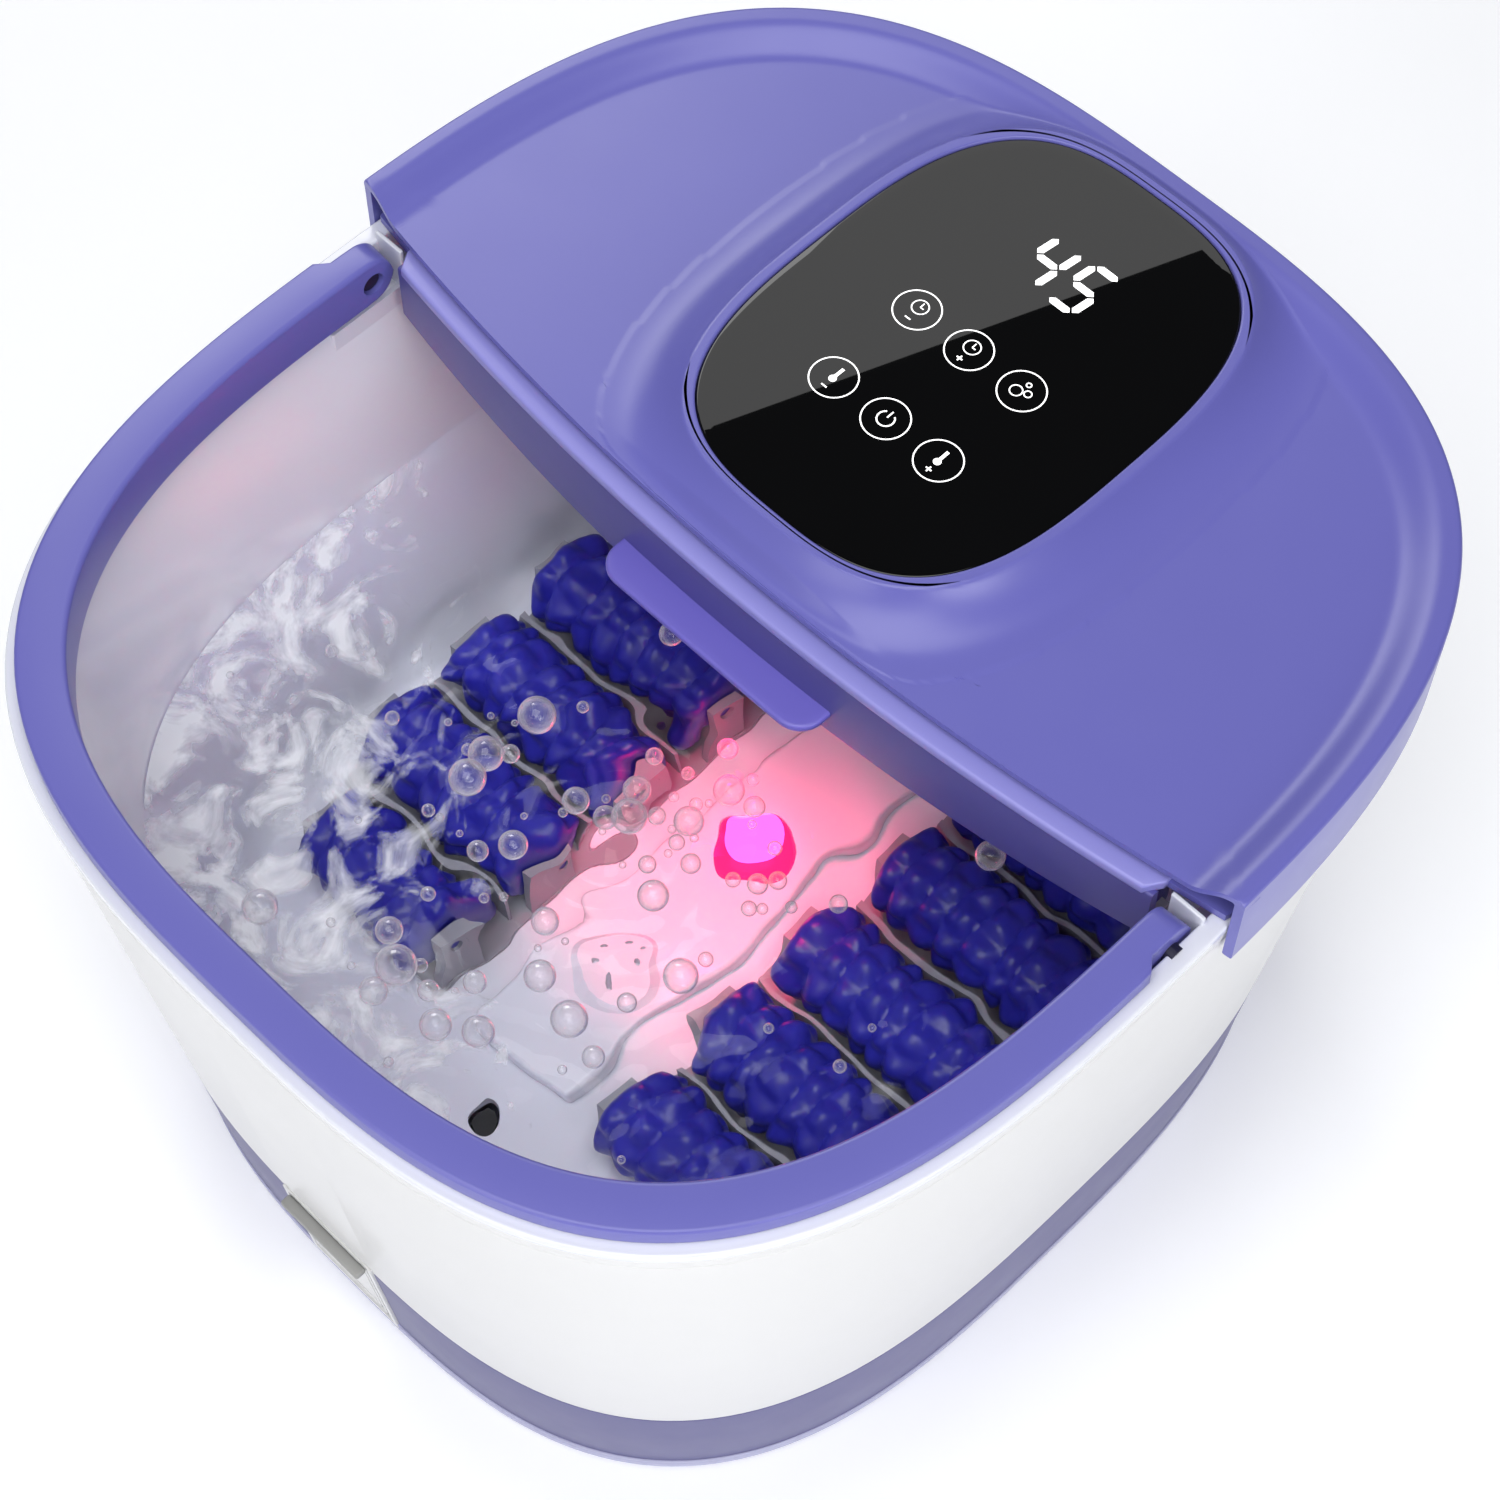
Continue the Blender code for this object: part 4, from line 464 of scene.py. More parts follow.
# ---------------------------------------------------------------- carry handle
HANDLE_WIDTH = 0.0135
HANDLE_LIP = 0.0035
PIN_BORE = 0.0041
handle_half_x = (handle_high.x - handle_low.x) / 2
HANDLE_HALF = (handle_half_x, handle_half_x + RIM_HALF[1] - RIM_HALF[0])
ARM_RADIUS = ARM_HEIGHT / 2 - 0.0002
LIP_END = 0.010
lip_bottom = RIM_TOP + GAP
pivot_along = pivot.y - CENTRE_Y


def handle_section(angle):
    """The handle's section at an angle of the plan: full along the bail, rounded off past the pivot."""
    along = radius_at(HANDLE_HALF, angle) * math.sin(angle)
    past = min(max(along - pivot_along, 0) / ARM_RADIUS, 1)
    half_height = ARM_RADIUS * math.sqrt(max(1 - past * past, 1e-6)) if past else ARM_HEIGHT / 2
    top, bottom = pivot.z + half_height, pivot.z - half_height
    outer = float(HANDLE_LIP * smooth_step((along - pivot_along + LIP_END) / 0.001))
    lip_z = min(max(lip_bottom, bottom), top)
    outline = eased([(outer, top), (HANDLE_WIDTH, top), (HANDLE_WIDTH, bottom), (HANDLE_LIP, bottom),
                     (HANDLE_LIP, lip_z), (outer, lip_z)], [0.0012, 0.0016, 0.002, 0.0016, 0.0004, 0.0006], 4)
    rows = []
    for inset, z in outline:
        radius = radius_at(grown(HANDLE_HALF, -inset), angle)
        rows.append((radius * math.cos(angle), CENTRE_Y + radius * math.sin(angle), z))
    return rows


arm_end_angle = math.asin((pivot_along + ARM_RADIUS) / HANDLE_HALF[0])
pivot_angle = math.asin(max(pivot_along, 0) / HANDLE_HALF[0])
bail = even_angles(HANDLE_HALF, -math.pi - pivot_angle, pivot_angle, 150)
rounding = [pivot_angle + (arm_end_angle - pivot_angle) * math.sin(math.pi / 2 * step / 14)
            for step in range(1, 15)]
handle_angles = [-math.pi - angle for angle in reversed(rounding)] + list(bail) + rounding
handle = skin("handle_skin", [handle_section(angle) for angle in handle_angles], LOOKS["purple_plastic"],
              "handle", ["carry_handle"], fill=(0, -1), sharp=55)
for side in (-1, 1):
    cut_away(handle, bore=(PIN_BORE, (side * (HANDLE_HALF[0] - HANDLE_LIP - 0.002), pivot.y, pivot.z),
                           (side * (HANDLE_HALF[0] - 0.02), pivot.y, pivot.z)))

# ---------------------------------------------------------------- drain door
DOOR_THICKNESS = 0.0025
DOOR_EDGE = 0.0005            # the small step that softens the door's sides
door_axis = joint_at["drain_door_open"]


def front_face(z):
    return CENTRE_Y - wall_half(z)[1]


def door_outline(inset):
    """The door's outline in depth and height: a slab along the wall with a round foot at its hinge."""
    points = [(front_face(door_high.z) + inset, door_high.z - inset)]
    for step in range(13):
        angle = math.pi + math.pi * step / 12
        radius = DOOR_THICKNESS - inset
        points.append((door_axis.y + radius * math.cos(angle), door_axis.z + radius * math.sin(angle)))
    points.append((front_face(door_high.z) + DOOR_THICKNESS - inset, door_high.z - inset))
    return points


door_rows = []
for x, inset in ((door_low.x, DOOR_EDGE), (door_low.x + DOOR_EDGE, 0),
                 (door_high.x - DOOR_EDGE, 0), (door_high.x, DOOR_EDGE)):
    door_rows.append([(x, y, z) for y, z in door_outline(inset)])
skin("door_skin", door_rows, LOOKS["white_plastic"], "drain_door", ["drain_door"], fill=(0, -1), sharp=35)
pull_low, pull_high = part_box("door_pull")
PULL_SHOWN = 0.0042
pull_front = (pull_low.x, pull_high.y - PULL_SHOWN, pull_low.z)
rounded_box("door_pull_skin", pull_front, pull_high, 0.0009, LOOKS["grey_plastic"], "drain_door",
            ["door_pull"])
LINE_WIDTH = 0.0011           # two raised lines frame the door's face
LINE_PROUD = 0.0005
LINE_SUNK = 0.0002
lines_top = pull_low.z - 0.0004
for name, inset in (("outer", 0.0008), ("inner", 0.0032)):
    left, right = door_low.x + inset, door_high.x - inset
    bottom = door_axis.z + 0.001 + inset
    edges = {
        "left": (left, left + LINE_WIDTH, bottom, lines_top),
        "right": (right - LINE_WIDTH, right, bottom, lines_top),
        "bottom": (left, right, bottom, bottom + LINE_WIDTH),
    }
    for edge, (x1, x2, z1, z2) in edges.items():
        corners = ((x1, z1), (x2, z1), (x2, z2), (x1, z2))
        rows = [[(x, front_face(z) - proud, z) for x, z in corners] for proud in (-LINE_SUNK, LINE_PROUD)]
        skin(f"door_line_{name}_{edge}", rows, LOOKS["white_plastic"], "drain_door", fill=(0, -1), sharp=30)

# ---------------------------------------------------------------- rollers
STUB_LENGTH = 0.0036
STUB_RADIUS = 0.003
NUB_HEIGHT = 0.0030
NUBS_AROUND = 8
NUB_PITCH = 0.0098
END_ROUNDING = 0.003
AROUND = 96


def roller_rows(low, high):
    """Rings along a roller: stub axle, rounded end, staggered rounded nubs and the other end."""
    radius = (high.z - low.z) / 2
    start, end = low.x + STUB_LENGTH, high.x - STUB_LENGTH
    middle = (low + high) / 2
    nub_rows = max(4, round((end - start) / NUB_PITCH))
    steps = nub_rows * 8
    turn = np.linspace(0, 2 * math.pi, AROUND, endpoint=False)

    def ring(x, radii):
        return np.stack([np.full(AROUND, x), middle.y + radii * np.cos(turn),
                         middle.z + radii * np.sin(turn)], 1)

    even = np.ones(AROUND)
    rows = [ring(low.x, even * STUB_RADIUS), ring(start, even * STUB_RADIUS)]
    for step in range(steps + 1):
        share = step / steps
        row = share * nub_rows
        phase = math.pi * (math.floor(row) % 2)
        ridge = abs(math.sin(math.pi * row)) ** 0.8
        bump = np.clip(np.cos(NUBS_AROUND * turn + phase) * 0.5 + 0.62, 0, 1) ** 0.7
        from_end = min(share, 1 - share) * (end - start)
        rounding = 0
        if from_end < END_ROUNDING:
            rounding = END_ROUNDING * (1 - math.sqrt(min(1, from_end / END_ROUNDING)))
        rows.append(ring(start + share * (end - start),
                         radius - NUB_HEIGHT + NUB_HEIGHT * bump * ridge - rounding))
    rows += [ring(end, even * STUB_RADIUS), ring(high.x, even * STUB_RADIUS)]
    return rows


for side in ("left", "right"):
    for number in range(1, 6):
        node = f"roller_{side}_{number}"
        skin(f"{node}_skin", roller_rows(*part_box(node)), LOOKS["roller_plastic"], node, [node],
             fill=(0, -1), sharp=70)

# ---------------------------------------------------------------- middle strip
spine_box = rounded_box("spine_skin", spine_low, spine_high, 0.002, LOOKS["tub_white"], "base",
                        ["air_channel_cover"], 4)
light_middle = (light_low + light_high) / 2
light_radius = (light_high.x - light_low.x) / 2
cut_away(spine_box, bore=(light_radius + GAP, light_middle - Vector((0, 0, 0.02)),
                          light_middle + Vector((0, 0, 0.02))))
light_top = light_high.z
turned("red_light_skin", [(light_radius, light_low.z), (light_radius, light_top - 0.002),
                          (light_radius - 0.001, light_top - 0.0007), (light_radius * 0.6, light_top),
                          (0.0005, light_top)], (light_middle.x, light_middle.y, 0), (0, 0, 1),
       LOOKS["red_lens"], "base", ["red_light_lens"])

# ---------------------------------------------------------------- deck: shape of its top
cover_half_x = (cover_high.x - cover_low.x) / 2
COVER_HALF = (cover_half_x, cover_half_x + RIM_HALF[1] - RIM_HALF[0])
LAND_WIDTH = 0.0045
DISH_DEPTH = 0.006
DISH_SLOPE = 0.0125
SHEET = 0.003
SKIRT_WALL = 0.0032
EDGE = 0.0014
LENS_CENTRE = Vector(((lens_low.x + lens_high.x) / 2, (lens_low.y + lens_high.y) / 2))
LENS_HALF = ((lens_high.x - lens_low.x) / 2, (lens_high.y - lens_low.y) / 2)
POD_RING = 0.0036
POD_SPREAD = 0.024
POD_RISE = 0.0052
POD_HOLLOW = 2.6              # a higher power makes the pod's flank fall faster near the lens
POD_FADE = 0.007              # the pod's flank dies out over this distance behind the front edge
POD_LIP = 0.0008
POD_LIP_DROP = 0.0006
CREASE_BLEND = 0.0012
pod_top = cover_high.z
land_z = pod_top - POD_RISE
dish_z = land_z - DISH_DEPTH
skirt_bottom = cover_low.z
front_middle = cover_low.y
DECK_BULGE = 0.017
corner_y = front_middle + DECK_BULGE


def front_edge(x):
    """Depth of the deck's bowed front edge."""
    return corner_y - DECK_BULGE * (1 - (x / COVER_HALF[0]) ** 2)


def inside_by(x, y, half, centre_y):
    """How far inside a superellipse a point lies: the inset of the outline through it."""
    low, high = np.full(np.shape(x), -0.05), np.full(np.shape(x), min(half) * 0.98)
    for _ in range(40):
        middle = (low + high) / 2
        level = ((np.abs(x) / (half[0] - middle)) ** EXPONENT
                 + (np.abs(y - centre_y) / (half[1] - middle)) ** EXPONENT)
        outside = level > 1
        high = np.where(outside, middle, high)
        low = np.where(outside, low, middle)
    return (low + high) / 2


def deck_height(x, y):
    """Height of the deck's top: land along its outer side, dish, and the pod round the lens."""
    inset = inside_by(x, y, COVER_HALF, CENTRE_Y)
    edge = np.clip(1 - inset / EDGE, 0, 1)
    from_front = np.clip(y - front_edge(x), 0, None)
    base = land_z - EDGE * (1 - np.sqrt(1 - edge ** 2))
    base = base - DISH_DEPTH * smooth_step((inset - LAND_WIDTH) / DISH_SLOPE)
    out = -inside_by(x, y, LENS_HALF, LENS_CENTRE.y)
    flank = np.clip((out - POD_RING) / POD_SPREAD, 0, 1)
    rise = (pod_top - dish_z) * (1 - flank) ** POD_HOLLOW * smooth_step(from_front / POD_FADE)
    crown = np.clip(1 - out / POD_LIP, 0, 1)
    height = np.maximum(base, dish_z + rise - POD_LIP_DROP * crown ** 2)
    closeness = np.clip(1 - np.abs(base - dish_z - rise) / CREASE_BLEND, 0, 1)
    return height + 0.25 * CREASE_BLEND * closeness ** 2 * (rise > 1e-5)


def outer_reach(angle, inset):
    """Distance along rays from the lens's middle to the deck's outline, moved in by an inset."""
    low, high = np.zeros(len(angle)), np.full(len(angle), 0.5)
    for _ in range(40):
        middle = (low + high) / 2
        x, y = middle * np.cos(angle), LENS_CENTRE.y + middle * np.sin(angle)
        level = ((np.abs(x) / (COVER_HALF[0] - inset)) ** EXPONENT
                 + (np.abs(y - CENTRE_Y) / (COVER_HALF[1] - inset)) ** EXPONENT)
        outside = (level > 1) | (y < front_edge(x) + inset)
        high = np.where(outside, middle, high)
        low = np.where(outside, low, middle)
    return low


# The deck's front corner, where the bowed edge meets the outline, is found by repeated substitution.
corner_x = COVER_HALF[0] * (1 - abs((corner_y - CENTRE_Y) / COVER_HALF[1]) ** EXPONENT) ** (1 / EXPONENT)
for _ in range(20):
    edge_y = front_edge(corner_x) - CENTRE_Y
    corner_x = COVER_HALF[0] * (1 - abs(edge_y / COVER_HALF[1]) ** EXPONENT) ** (1 / EXPONENT)
corner_angle = math.atan2(front_edge(corner_x) - LENS_CENTRE.y, corner_x)
DECK_RAYS = 560
dense = np.linspace(corner_angle, corner_angle + 2 * math.pi, 6001)
reach = outer_reach(dense, 0.0)
outline = np.stack([reach * np.cos(dense), reach * np.sin(dense)], 1)
run = np.concatenate([[0], np.cumsum(np.linalg.norm(np.diff(outline, axis=0), axis=1))])
rays = np.interp(np.linspace(0, run[-1], DECK_RAYS + 1)[:-1], run, dense)
left_corner = math.pi - corner_angle
rays[np.argmin(np.abs(rays - left_corner))] = left_corner

# The top's rows run from the outer edge inwards, then on to the lens; they stand close where it curves.
OUTER_INSETS = np.concatenate([np.linspace(0, EDGE, 6), np.linspace(0.0026, 0.005, 4),
                               np.linspace(0.0056, 0.0190, 16)])
LENS_GROWTH = np.concatenate([np.linspace(0.034, 0.0045, 26), np.linspace(0.0038, 0.0010, 6),
                              np.linspace(0.0008, GAP, 4)])
width = outer_reach(rays, 0.0) - radius_at(LENS_HALF, rays)
outer_scale = np.minimum(1, 0.3 * width / OUTER_INSETS[-1])
inner_scale = np.where(width > 0.055, 1, np.minimum(1, 0.6 * width / LENS_GROWTH[0]))
ray_rows = [outer_reach(rays, inset * outer_scale) for inset in OUTER_INSETS]
near = []
for growth in LENS_GROWTH:
    scale = inner_scale if growth > 0.004 else np.minimum(1, inner_scale * 1.6)
    near.append(radius_at(LENS_HALF, rays) + growth * scale)
between = [ray_rows[-1] + (near[0] - ray_rows[-1]) * step / 24 for step in range(1, 24)]
ray_rows = ray_rows + between + near
deck_rows = []
for row in ray_rows:
    x, y = row * np.cos(rays), LENS_CENTRE.y + row * np.sin(rays)
    deck_rows.append(np.stack([x, y, deck_height(x, y)], 1))
seat = deck_rows[-1].copy()
seat[:, 2] = lens_low.z
deck_rows.append(seat)
skin("deck_top", deck_rows, LOOKS["purple_plastic"], "deck", ["deck_cover"], sharp=60)

SKIRT_STEPS = 260
skirt_start = math.atan2(front_edge(corner_x) - CENTRE_Y, corner_x)
skirt_angles = even_angles(COVER_HALF, skirt_start, math.pi - skirt_start, SKIRT_STEPS)
skirt_section = eased([(0, land_z - EDGE), (0, skirt_bottom), (SKIRT_WALL, skirt_bottom),
                       (SKIRT_WALL, land_z - SHEET), (LAND_WIDTH, land_z - SHEET),
                       (LAND_WIDTH, land_z - 0.0004)],
                      [0, 0.0009, 0.0009, 0.001, 0, 0], 4)
skirt_rows = []
for angle in skirt_angles:
    row = []
    for inset, z in skirt_section:
        radius = radius_at(grown(COVER_HALF, -inset), angle)
        row.append((radius * math.cos(angle), CENTRE_Y + radius * math.sin(angle), z))
    skirt_rows.append(row)
skin("deck_skirt", skirt_rows, LOOKS["purple_plastic"], "deck", ["deck_cover"], fill=(0, -1), sharp=40)

edge_x = np.linspace(-corner_x, corner_x, 200)
edge_y = front_edge(edge_x)
edge_z = deck_height(edge_x, edge_y + 1e-5)
lip_rows = []
for inset, drop in ((0.0, 0.0), (-0.0001, 0.0006), (0.0, SHEET - 0.0006), (0.0006, SHEET), (0.007, SHEET)):
    lip_rows.append(np.stack([edge_x, edge_y + inset, edge_z - drop], 1))
skin("deck_front_lip", lip_rows, LOOKS["purple_plastic"], "deck", ["deck_cover"], ring=False)

# ---------------------------------------------------------------- deck: frame, ledge, front wall and tab
plate_bottom = RIM_TOP + GAP
plate_top = plate_bottom + 0.003
LEDGE_FORWARD = 0.0055
WALL_THICKNESS = 0.003
ledge_low = plate_top - 0.002
ledge_high = ledge_low + 0.0042
wall_reach = HANDLE_HALF[0] - HANDLE_WIDTH - 0.0035
TAB_HALF = 0.044
TAB_CORNER = 0.009
tab_front = frame_low.y


STRIP_STEPS = 90


def bowed_strip(name, half_length, section_at, reach, material):
    """A strip along the deck's front edge; its section gives (distance behind the edge, height)."""
    rows = []
    for step in range(STRIP_STEPS + 1):
        x = half_length * (2 * step / STRIP_STEPS - 1)
        taper = min(1, math.sqrt(max(0, (half_length - abs(x)) / 0.004)) + 0.25)
        section = np.array(section_at(x, taper))
        rows.append([(x, front_edge(x) + back, z) for back, z in eased(section, reach, 3)])
    return skin(name, rows, material, "deck", ["deck_frame"], fill=(0, -1), sharp=45)


def wall_section(x, taper):
    bottom = frame_low.z + 0.008 * (x / wall_reach) ** 2
    front = -LEDGE_FORWARD + 2 * GAP
    return [(front, plate_top - 0.001), (front + WALL_THICKNESS, plate_top - 0.001),
            (front + WALL_THICKNESS, bottom), (front, bottom)]


def ledge_section(x, taper):
    front = -LEDGE_FORWARD * taper + 0.001 * (1 - taper)
    return [(front, ledge_high), (0.004, ledge_high), (0.004, ledge_low), (front, ledge_low)]


# The front wall takes a darker copy of the deck's purple: painted shade for the wall that sits under the deck's
# lip.
shaded_wall_look = plastic("wall_plastic_painted_shade", srgb(80, 76, 146), 0.34)
bowed_strip("front_wall", wall_reach, wall_section, 0.0009, shaded_wall_look)
# The ledge takes a paler copy of the deck's purple: painted light on its upturned top face.
lit_ledge_look = plastic("ledge_plastic_painted_light", srgb(146, 144, 216), 0.32)
bowed_strip("ledge_strip", wall_reach + 0.0004, ledge_section, 0.0011, lit_ledge_look)

tab_root = front_middle - LEDGE_FORWARD + 0.002
turn_x = TAB_HALF - TAB_CORNER
tab_outline = [(-TAB_HALF, tab_root)]
for start, x in ((180, -turn_x), (270, turn_x)):
    for step in range(9):
        angle = math.radians(start + 90 * step / 8)
        tab_outline.append((x + TAB_CORNER * math.cos(angle),
                            tab_front + TAB_CORNER + TAB_CORNER * math.sin(angle)))
tab_outline.append((TAB_HALF, tab_root))
TAB_TOP = RIM_TOP - 0.017
TAB_THICKNESS = 0.003
tab_bottom = TAB_TOP - TAB_THICKNESS
tab_rows = []
for inset, z in eased([(0.003, tab_bottom), (0, tab_bottom), (0, TAB_TOP), (0.003, TAB_TOP)], 0.0011, 4,
                      closed=False):
    scale = 1 - inset / TAB_HALF
    tab_rows.append([(x * scale, tab_root + (y - tab_root) * (1 - inset / 0.013), z) for x, y in tab_outline])
tab_look = plastic("tab_plastic", srgb(112, 104, 196), 0.34)
skin("finger_tab", tab_rows, tab_look, "deck", ["deck_frame"], fill=(0, -1), sharp=45)

frame_half = grown(RIM_HALF, -0.0008)
plate_x = np.linspace(-frame_half[0] + 0.001, frame_half[0] - 0.001, 60)
front_run = np.stack([plate_x, front_edge(plate_x) + 0.0015], 1)
start = math.atan2(front_run[-1][1] + 0.003 - CENTRE_Y, frame_half[0])
rear_angles = even_angles(frame_half, start, math.pi - start, 120)
rear_radius = radius_at(frame_half, rear_angles)
rear_run = np.stack([rear_radius * np.cos(rear_angles), CENTRE_Y + rear_radius * np.sin(rear_angles)], 1)
plate_outline = np.concatenate([front_run, rear_run])
frame_rows = [np.column_stack([plate_outline, np.full(len(plate_outline), z)])
              for z in (plate_bottom, plate_top)]
skin("frame_plate", frame_rows, LOOKS["purple_plastic"], "deck", ["deck_frame"], fill=(0, -1))

# ---------------------------------------------------------------- lens, symbols and number
lens_rings = eased([(0.0, lens_low.z), (0.0, lens_high.z), (0.004, lens_high.z)], [0, 0.0007, 0], 4,
                   closed=False)
lens_angles = even_angles(LENS_HALF, 0, 2 * math.pi, 200)[:-1]
lens_rows = [plan_ring(grown(LENS_HALF, -inset), z, lens_angles, LENS_CENTRE) for inset, z in lens_rings]
skin("lens_skin", lens_rows, LOOKS["black_lens"], "deck", ["control_lens"], fill=(0, -1))

PRINT_Z = lens_high.z + 0.00008
KEY_PITCH = 0.0215
KEY_RADIUS = 0.0078
KEY_LINE = 0.00045
KEY_ROWS = (-0.0007, -0.0368)  # the two rows of keys, from the lens's middle
DIGITS_BEHIND = 0.0408


def printed(name, shapes):
    """Thin printed shapes on the lens, each an outline in the lens's plane."""
    bm = bmesh.new()
    for shape in shapes:
        bm.faces.new([bm.verts.new((LENS_CENTRE.x + x, LENS_CENTRE.y + y, PRINT_Z)) for x, y in shape])
    bmesh.ops.recalc_face_normals(bm, faces=bm.faces)
    return finish_piece(bm, name, GLOWING_PRINT_WHITE, "deck")


def arc_band(centre, radius, line, start=0.0, end=360.0, steps=40):
    """Quads along an arc of a given line width."""
    shapes = []
    inner = radius - line
    for step in range(steps):
        corners = []
        for angle, r in ((step, inner), (step, radius), (step + 1, radius), (step + 1, inner)):
            turn = math.radians(start + (end - start) * angle / steps)
            corners.append((centre[0] + r * math.cos(turn), centre[1] + r * math.sin(turn)))
        shapes.append(corners)
    return shapes


def bar(start, end, line):
    """A straight stroke between two points."""
    start, end = Vector(start), Vector(end)
    side = (end - start).normalized().orthogonal() * line / 2
    return [tuple(start + side), tuple(start - side), tuple(end - side), tuple(end + side)]


def sign(centre, plus, size=0.0011, line=0.0005):
    x, y = centre
    strokes = [bar((x - size, y), (x + size, y), line)]
    if plus:
        strokes.append(bar((x, y - size), (x, y + size), line))
    return strokes


def clock(centre):
    x, y = centre
    return [*arc_band(centre, 0.0029, 0.0004), bar((x, y), (x, y + 0.0019), 0.0004),
            bar((x, y), (x + 0.0013, y), 0.0004)]


def thermometer(centre):
    x, y = centre
    return [*arc_band((x, y - 0.0019), 0.0013, 0.0013, steps=20),
            bar((x, y - 0.0012), (x, y + 0.0029), 0.0011)]


def bubbles(centre):
    x, y = centre
    return [*arc_band((x - 0.0014, y - 0.0010), 0.0022, 0.0004),
            *arc_band((x + 0.0021, y + 0.0004), 0.0014, 0.0004),
            *arc_band((x + 0.0001, y + 0.0031), 0.0010, 0.0004)]


def power(centre):
    x, y = centre
    return [*arc_band(centre, 0.0030, 0.0005, 125, 415), bar((x, y + 0.0006), (x, y + 0.0034), 0.0005)]


keys = {
    "time_less": (-KEY_PITCH, KEY_ROWS[0], clock, False),
    "time_more": (0.0, KEY_ROWS[0], clock, True),
    "bubbles": (KEY_PITCH, KEY_ROWS[0], bubbles, None),
    "heat_less": (-KEY_PITCH, KEY_ROWS[1], thermometer, False),
    "power": (0.0, KEY_ROWS[1], power, None),
    "heat_more": (KEY_PITCH, KEY_ROWS[1], thermometer, True),
}
for key, (x, y, symbol, plus) in keys.items():
    shapes = arc_band((x, y), KEY_RADIUS, KEY_LINE)
    if plus is None:
        shapes += symbol((x, y))
    else:
        shapes += symbol((x, y + 0.0014)) + sign((x, y - 0.0042), plus)
    printed(f"key_{key}", shapes)

DIGIT_HEIGHT = 0.0192
DIGIT_WIDTH = 0.0092
DIGIT_PITCH = 0.0150
SEGMENT = 0.0026
DIGITS_AT = 0.0012
SLANT = 0.12
# A digit's segments as ends across and up; LIT gives the ones that each digit shows.
SEGMENTS = {"a": ((0, 1), (1, 1)), "b": ((1, 1), (1, 0.5)), "c": ((1, 0.5), (1, 0)), "d": ((0, 0), (1, 0)),
            "e": ((0, 0.5), (0, 0)), "f": ((0, 1), (0, 0.5)), "g": ((0, 0.5), (1, 0.5))}
LIT = {4: "bcfg", 5: "acdfg"}


def digit(value, x, y):
    """A seven-segment digit with pointed segments, leaning a little to the right."""
    shapes = []
    for letter in LIT[value]:
        ends = [Vector(((u - 0.5) * DIGIT_WIDTH, (v - 0.5) * DIGIT_HEIGHT)) for u, v in SEGMENTS[letter]]
        along = (ends[1] - ends[0]).normalized()
        side = along.orthogonal() * SEGMENT / 2
        start, end = ends[0] + along * 0.0005, ends[1] - along * 0.0005
        corners = [start, start + along * SEGMENT / 2 + side, end - along * SEGMENT / 2 + side, end,
                   end - along * SEGMENT / 2 - side, start + along * SEGMENT / 2 - side]
        shapes.append([(x + p.x + SLANT * p.y, y + p.y) for p in corners])
    return shapes


printed("display_number", digit(4, DIGITS_AT - DIGIT_PITCH / 2, DIGITS_BEHIND)
        + digit(5, DIGITS_AT + DIGIT_PITCH / 2, DIGITS_BEHIND))

# ---------------------------------------------------------------- staged water, bubbles and floor
WATER_Z = FLOOR_TOP + 0.105
SWELL = 0.0012                # heights of the water's three waves
RING_WAVE = 0.0022
CHOP = 0.0006
RING_FADE = 0.06
rng = np.random.default_rng(7)


def added(tree, kind, **values):
    """A new shader node whose inputs are set by name."""
    node = tree.nodes.new(f"ShaderNode{kind}")
    for name, value in values.items():
        node.inputs[name.replace("_", " ")].default_value = value
    return node


def mixed(tree, share, first, second):
    """Two shaders blended by a socket that gives the second one's share."""
    mix = tree.nodes.new("ShaderNodeMixShader")
    tree.links.new(share, mix.inputs["Fac"])
    tree.links.new(first, mix.inputs[1])
    tree.links.new(second, mix.inputs[2])
    return mix.outputs["Shader"]


def shader_tree(name):
    """An empty node material."""
    material = bpy.data.materials.new(name)
    material.use_nodes = True
    material.node_tree.nodes.remove(material.node_tree.nodes["Principled BSDF"])
    return material, material.node_tree


def water_material():
    """Clear rippled water with streaks of foam where the mesh's foam attribute is high."""
    material, tree = shader_tree("water")
    links = tree.links
    # The low index bends less than real water, so that the rollers stay readable under the ripples.
    glass = added(tree, "BsdfRefraction", IOR=1.12, Roughness=0.0, Color=(0.97, 0.98, 1.0, 1))
    gloss = added(tree, "BsdfGlossy", Roughness=0.03)
    fresnel = added(tree, "Fresnel", IOR=1.33)
    foam = added(tree, "BsdfPrincipled", Base_Color=(0.92, 0.94, 0.98, 1), Roughness=0.35)
    bumped(tree, noise(tree, 45.0, 1.0), 0.0035, glass, gloss, fresnel, foam)
    amount = added(tree, "Attribute")
    amount.attribute_name = "foam"
    streaks = added(tree, "TexNoise", Scale=34.0, Detail=7.0, Distortion=2.4)
    links.new(added(tree, "TexCoord").outputs["Object"], streaks.inputs["Vector"])
    total = added(tree, "Math")
    total.operation = "ADD"
    links.new(streaks.outputs["Fac"], total.inputs[0])
    links.new(amount.outputs["Fac"], total.inputs[1])
    cover = added(tree, "MapRange", From_Min=0.70, From_Max=0.92, To_Max=0.9)
    links.new(total.outputs["Value"], cover.inputs["Value"])
    surface = mixed(tree, fresnel.outputs["Fac"], glass.outputs["BSDF"], gloss.outputs["BSDF"])
    foamy = mixed(tree, cover.outputs["Result"], surface, foam.outputs["BSDF"])
    # Light reaches the tub straight through the water.
    clear = added(tree, "BsdfTransparent")
    lit = mixed(tree, added(tree, "LightPath").outputs["Is Shadow Ray"], foamy, clear.outputs["BSDF"])
    links.new(lit, tree.nodes["Material Output"].inputs["Surface"])
    return material


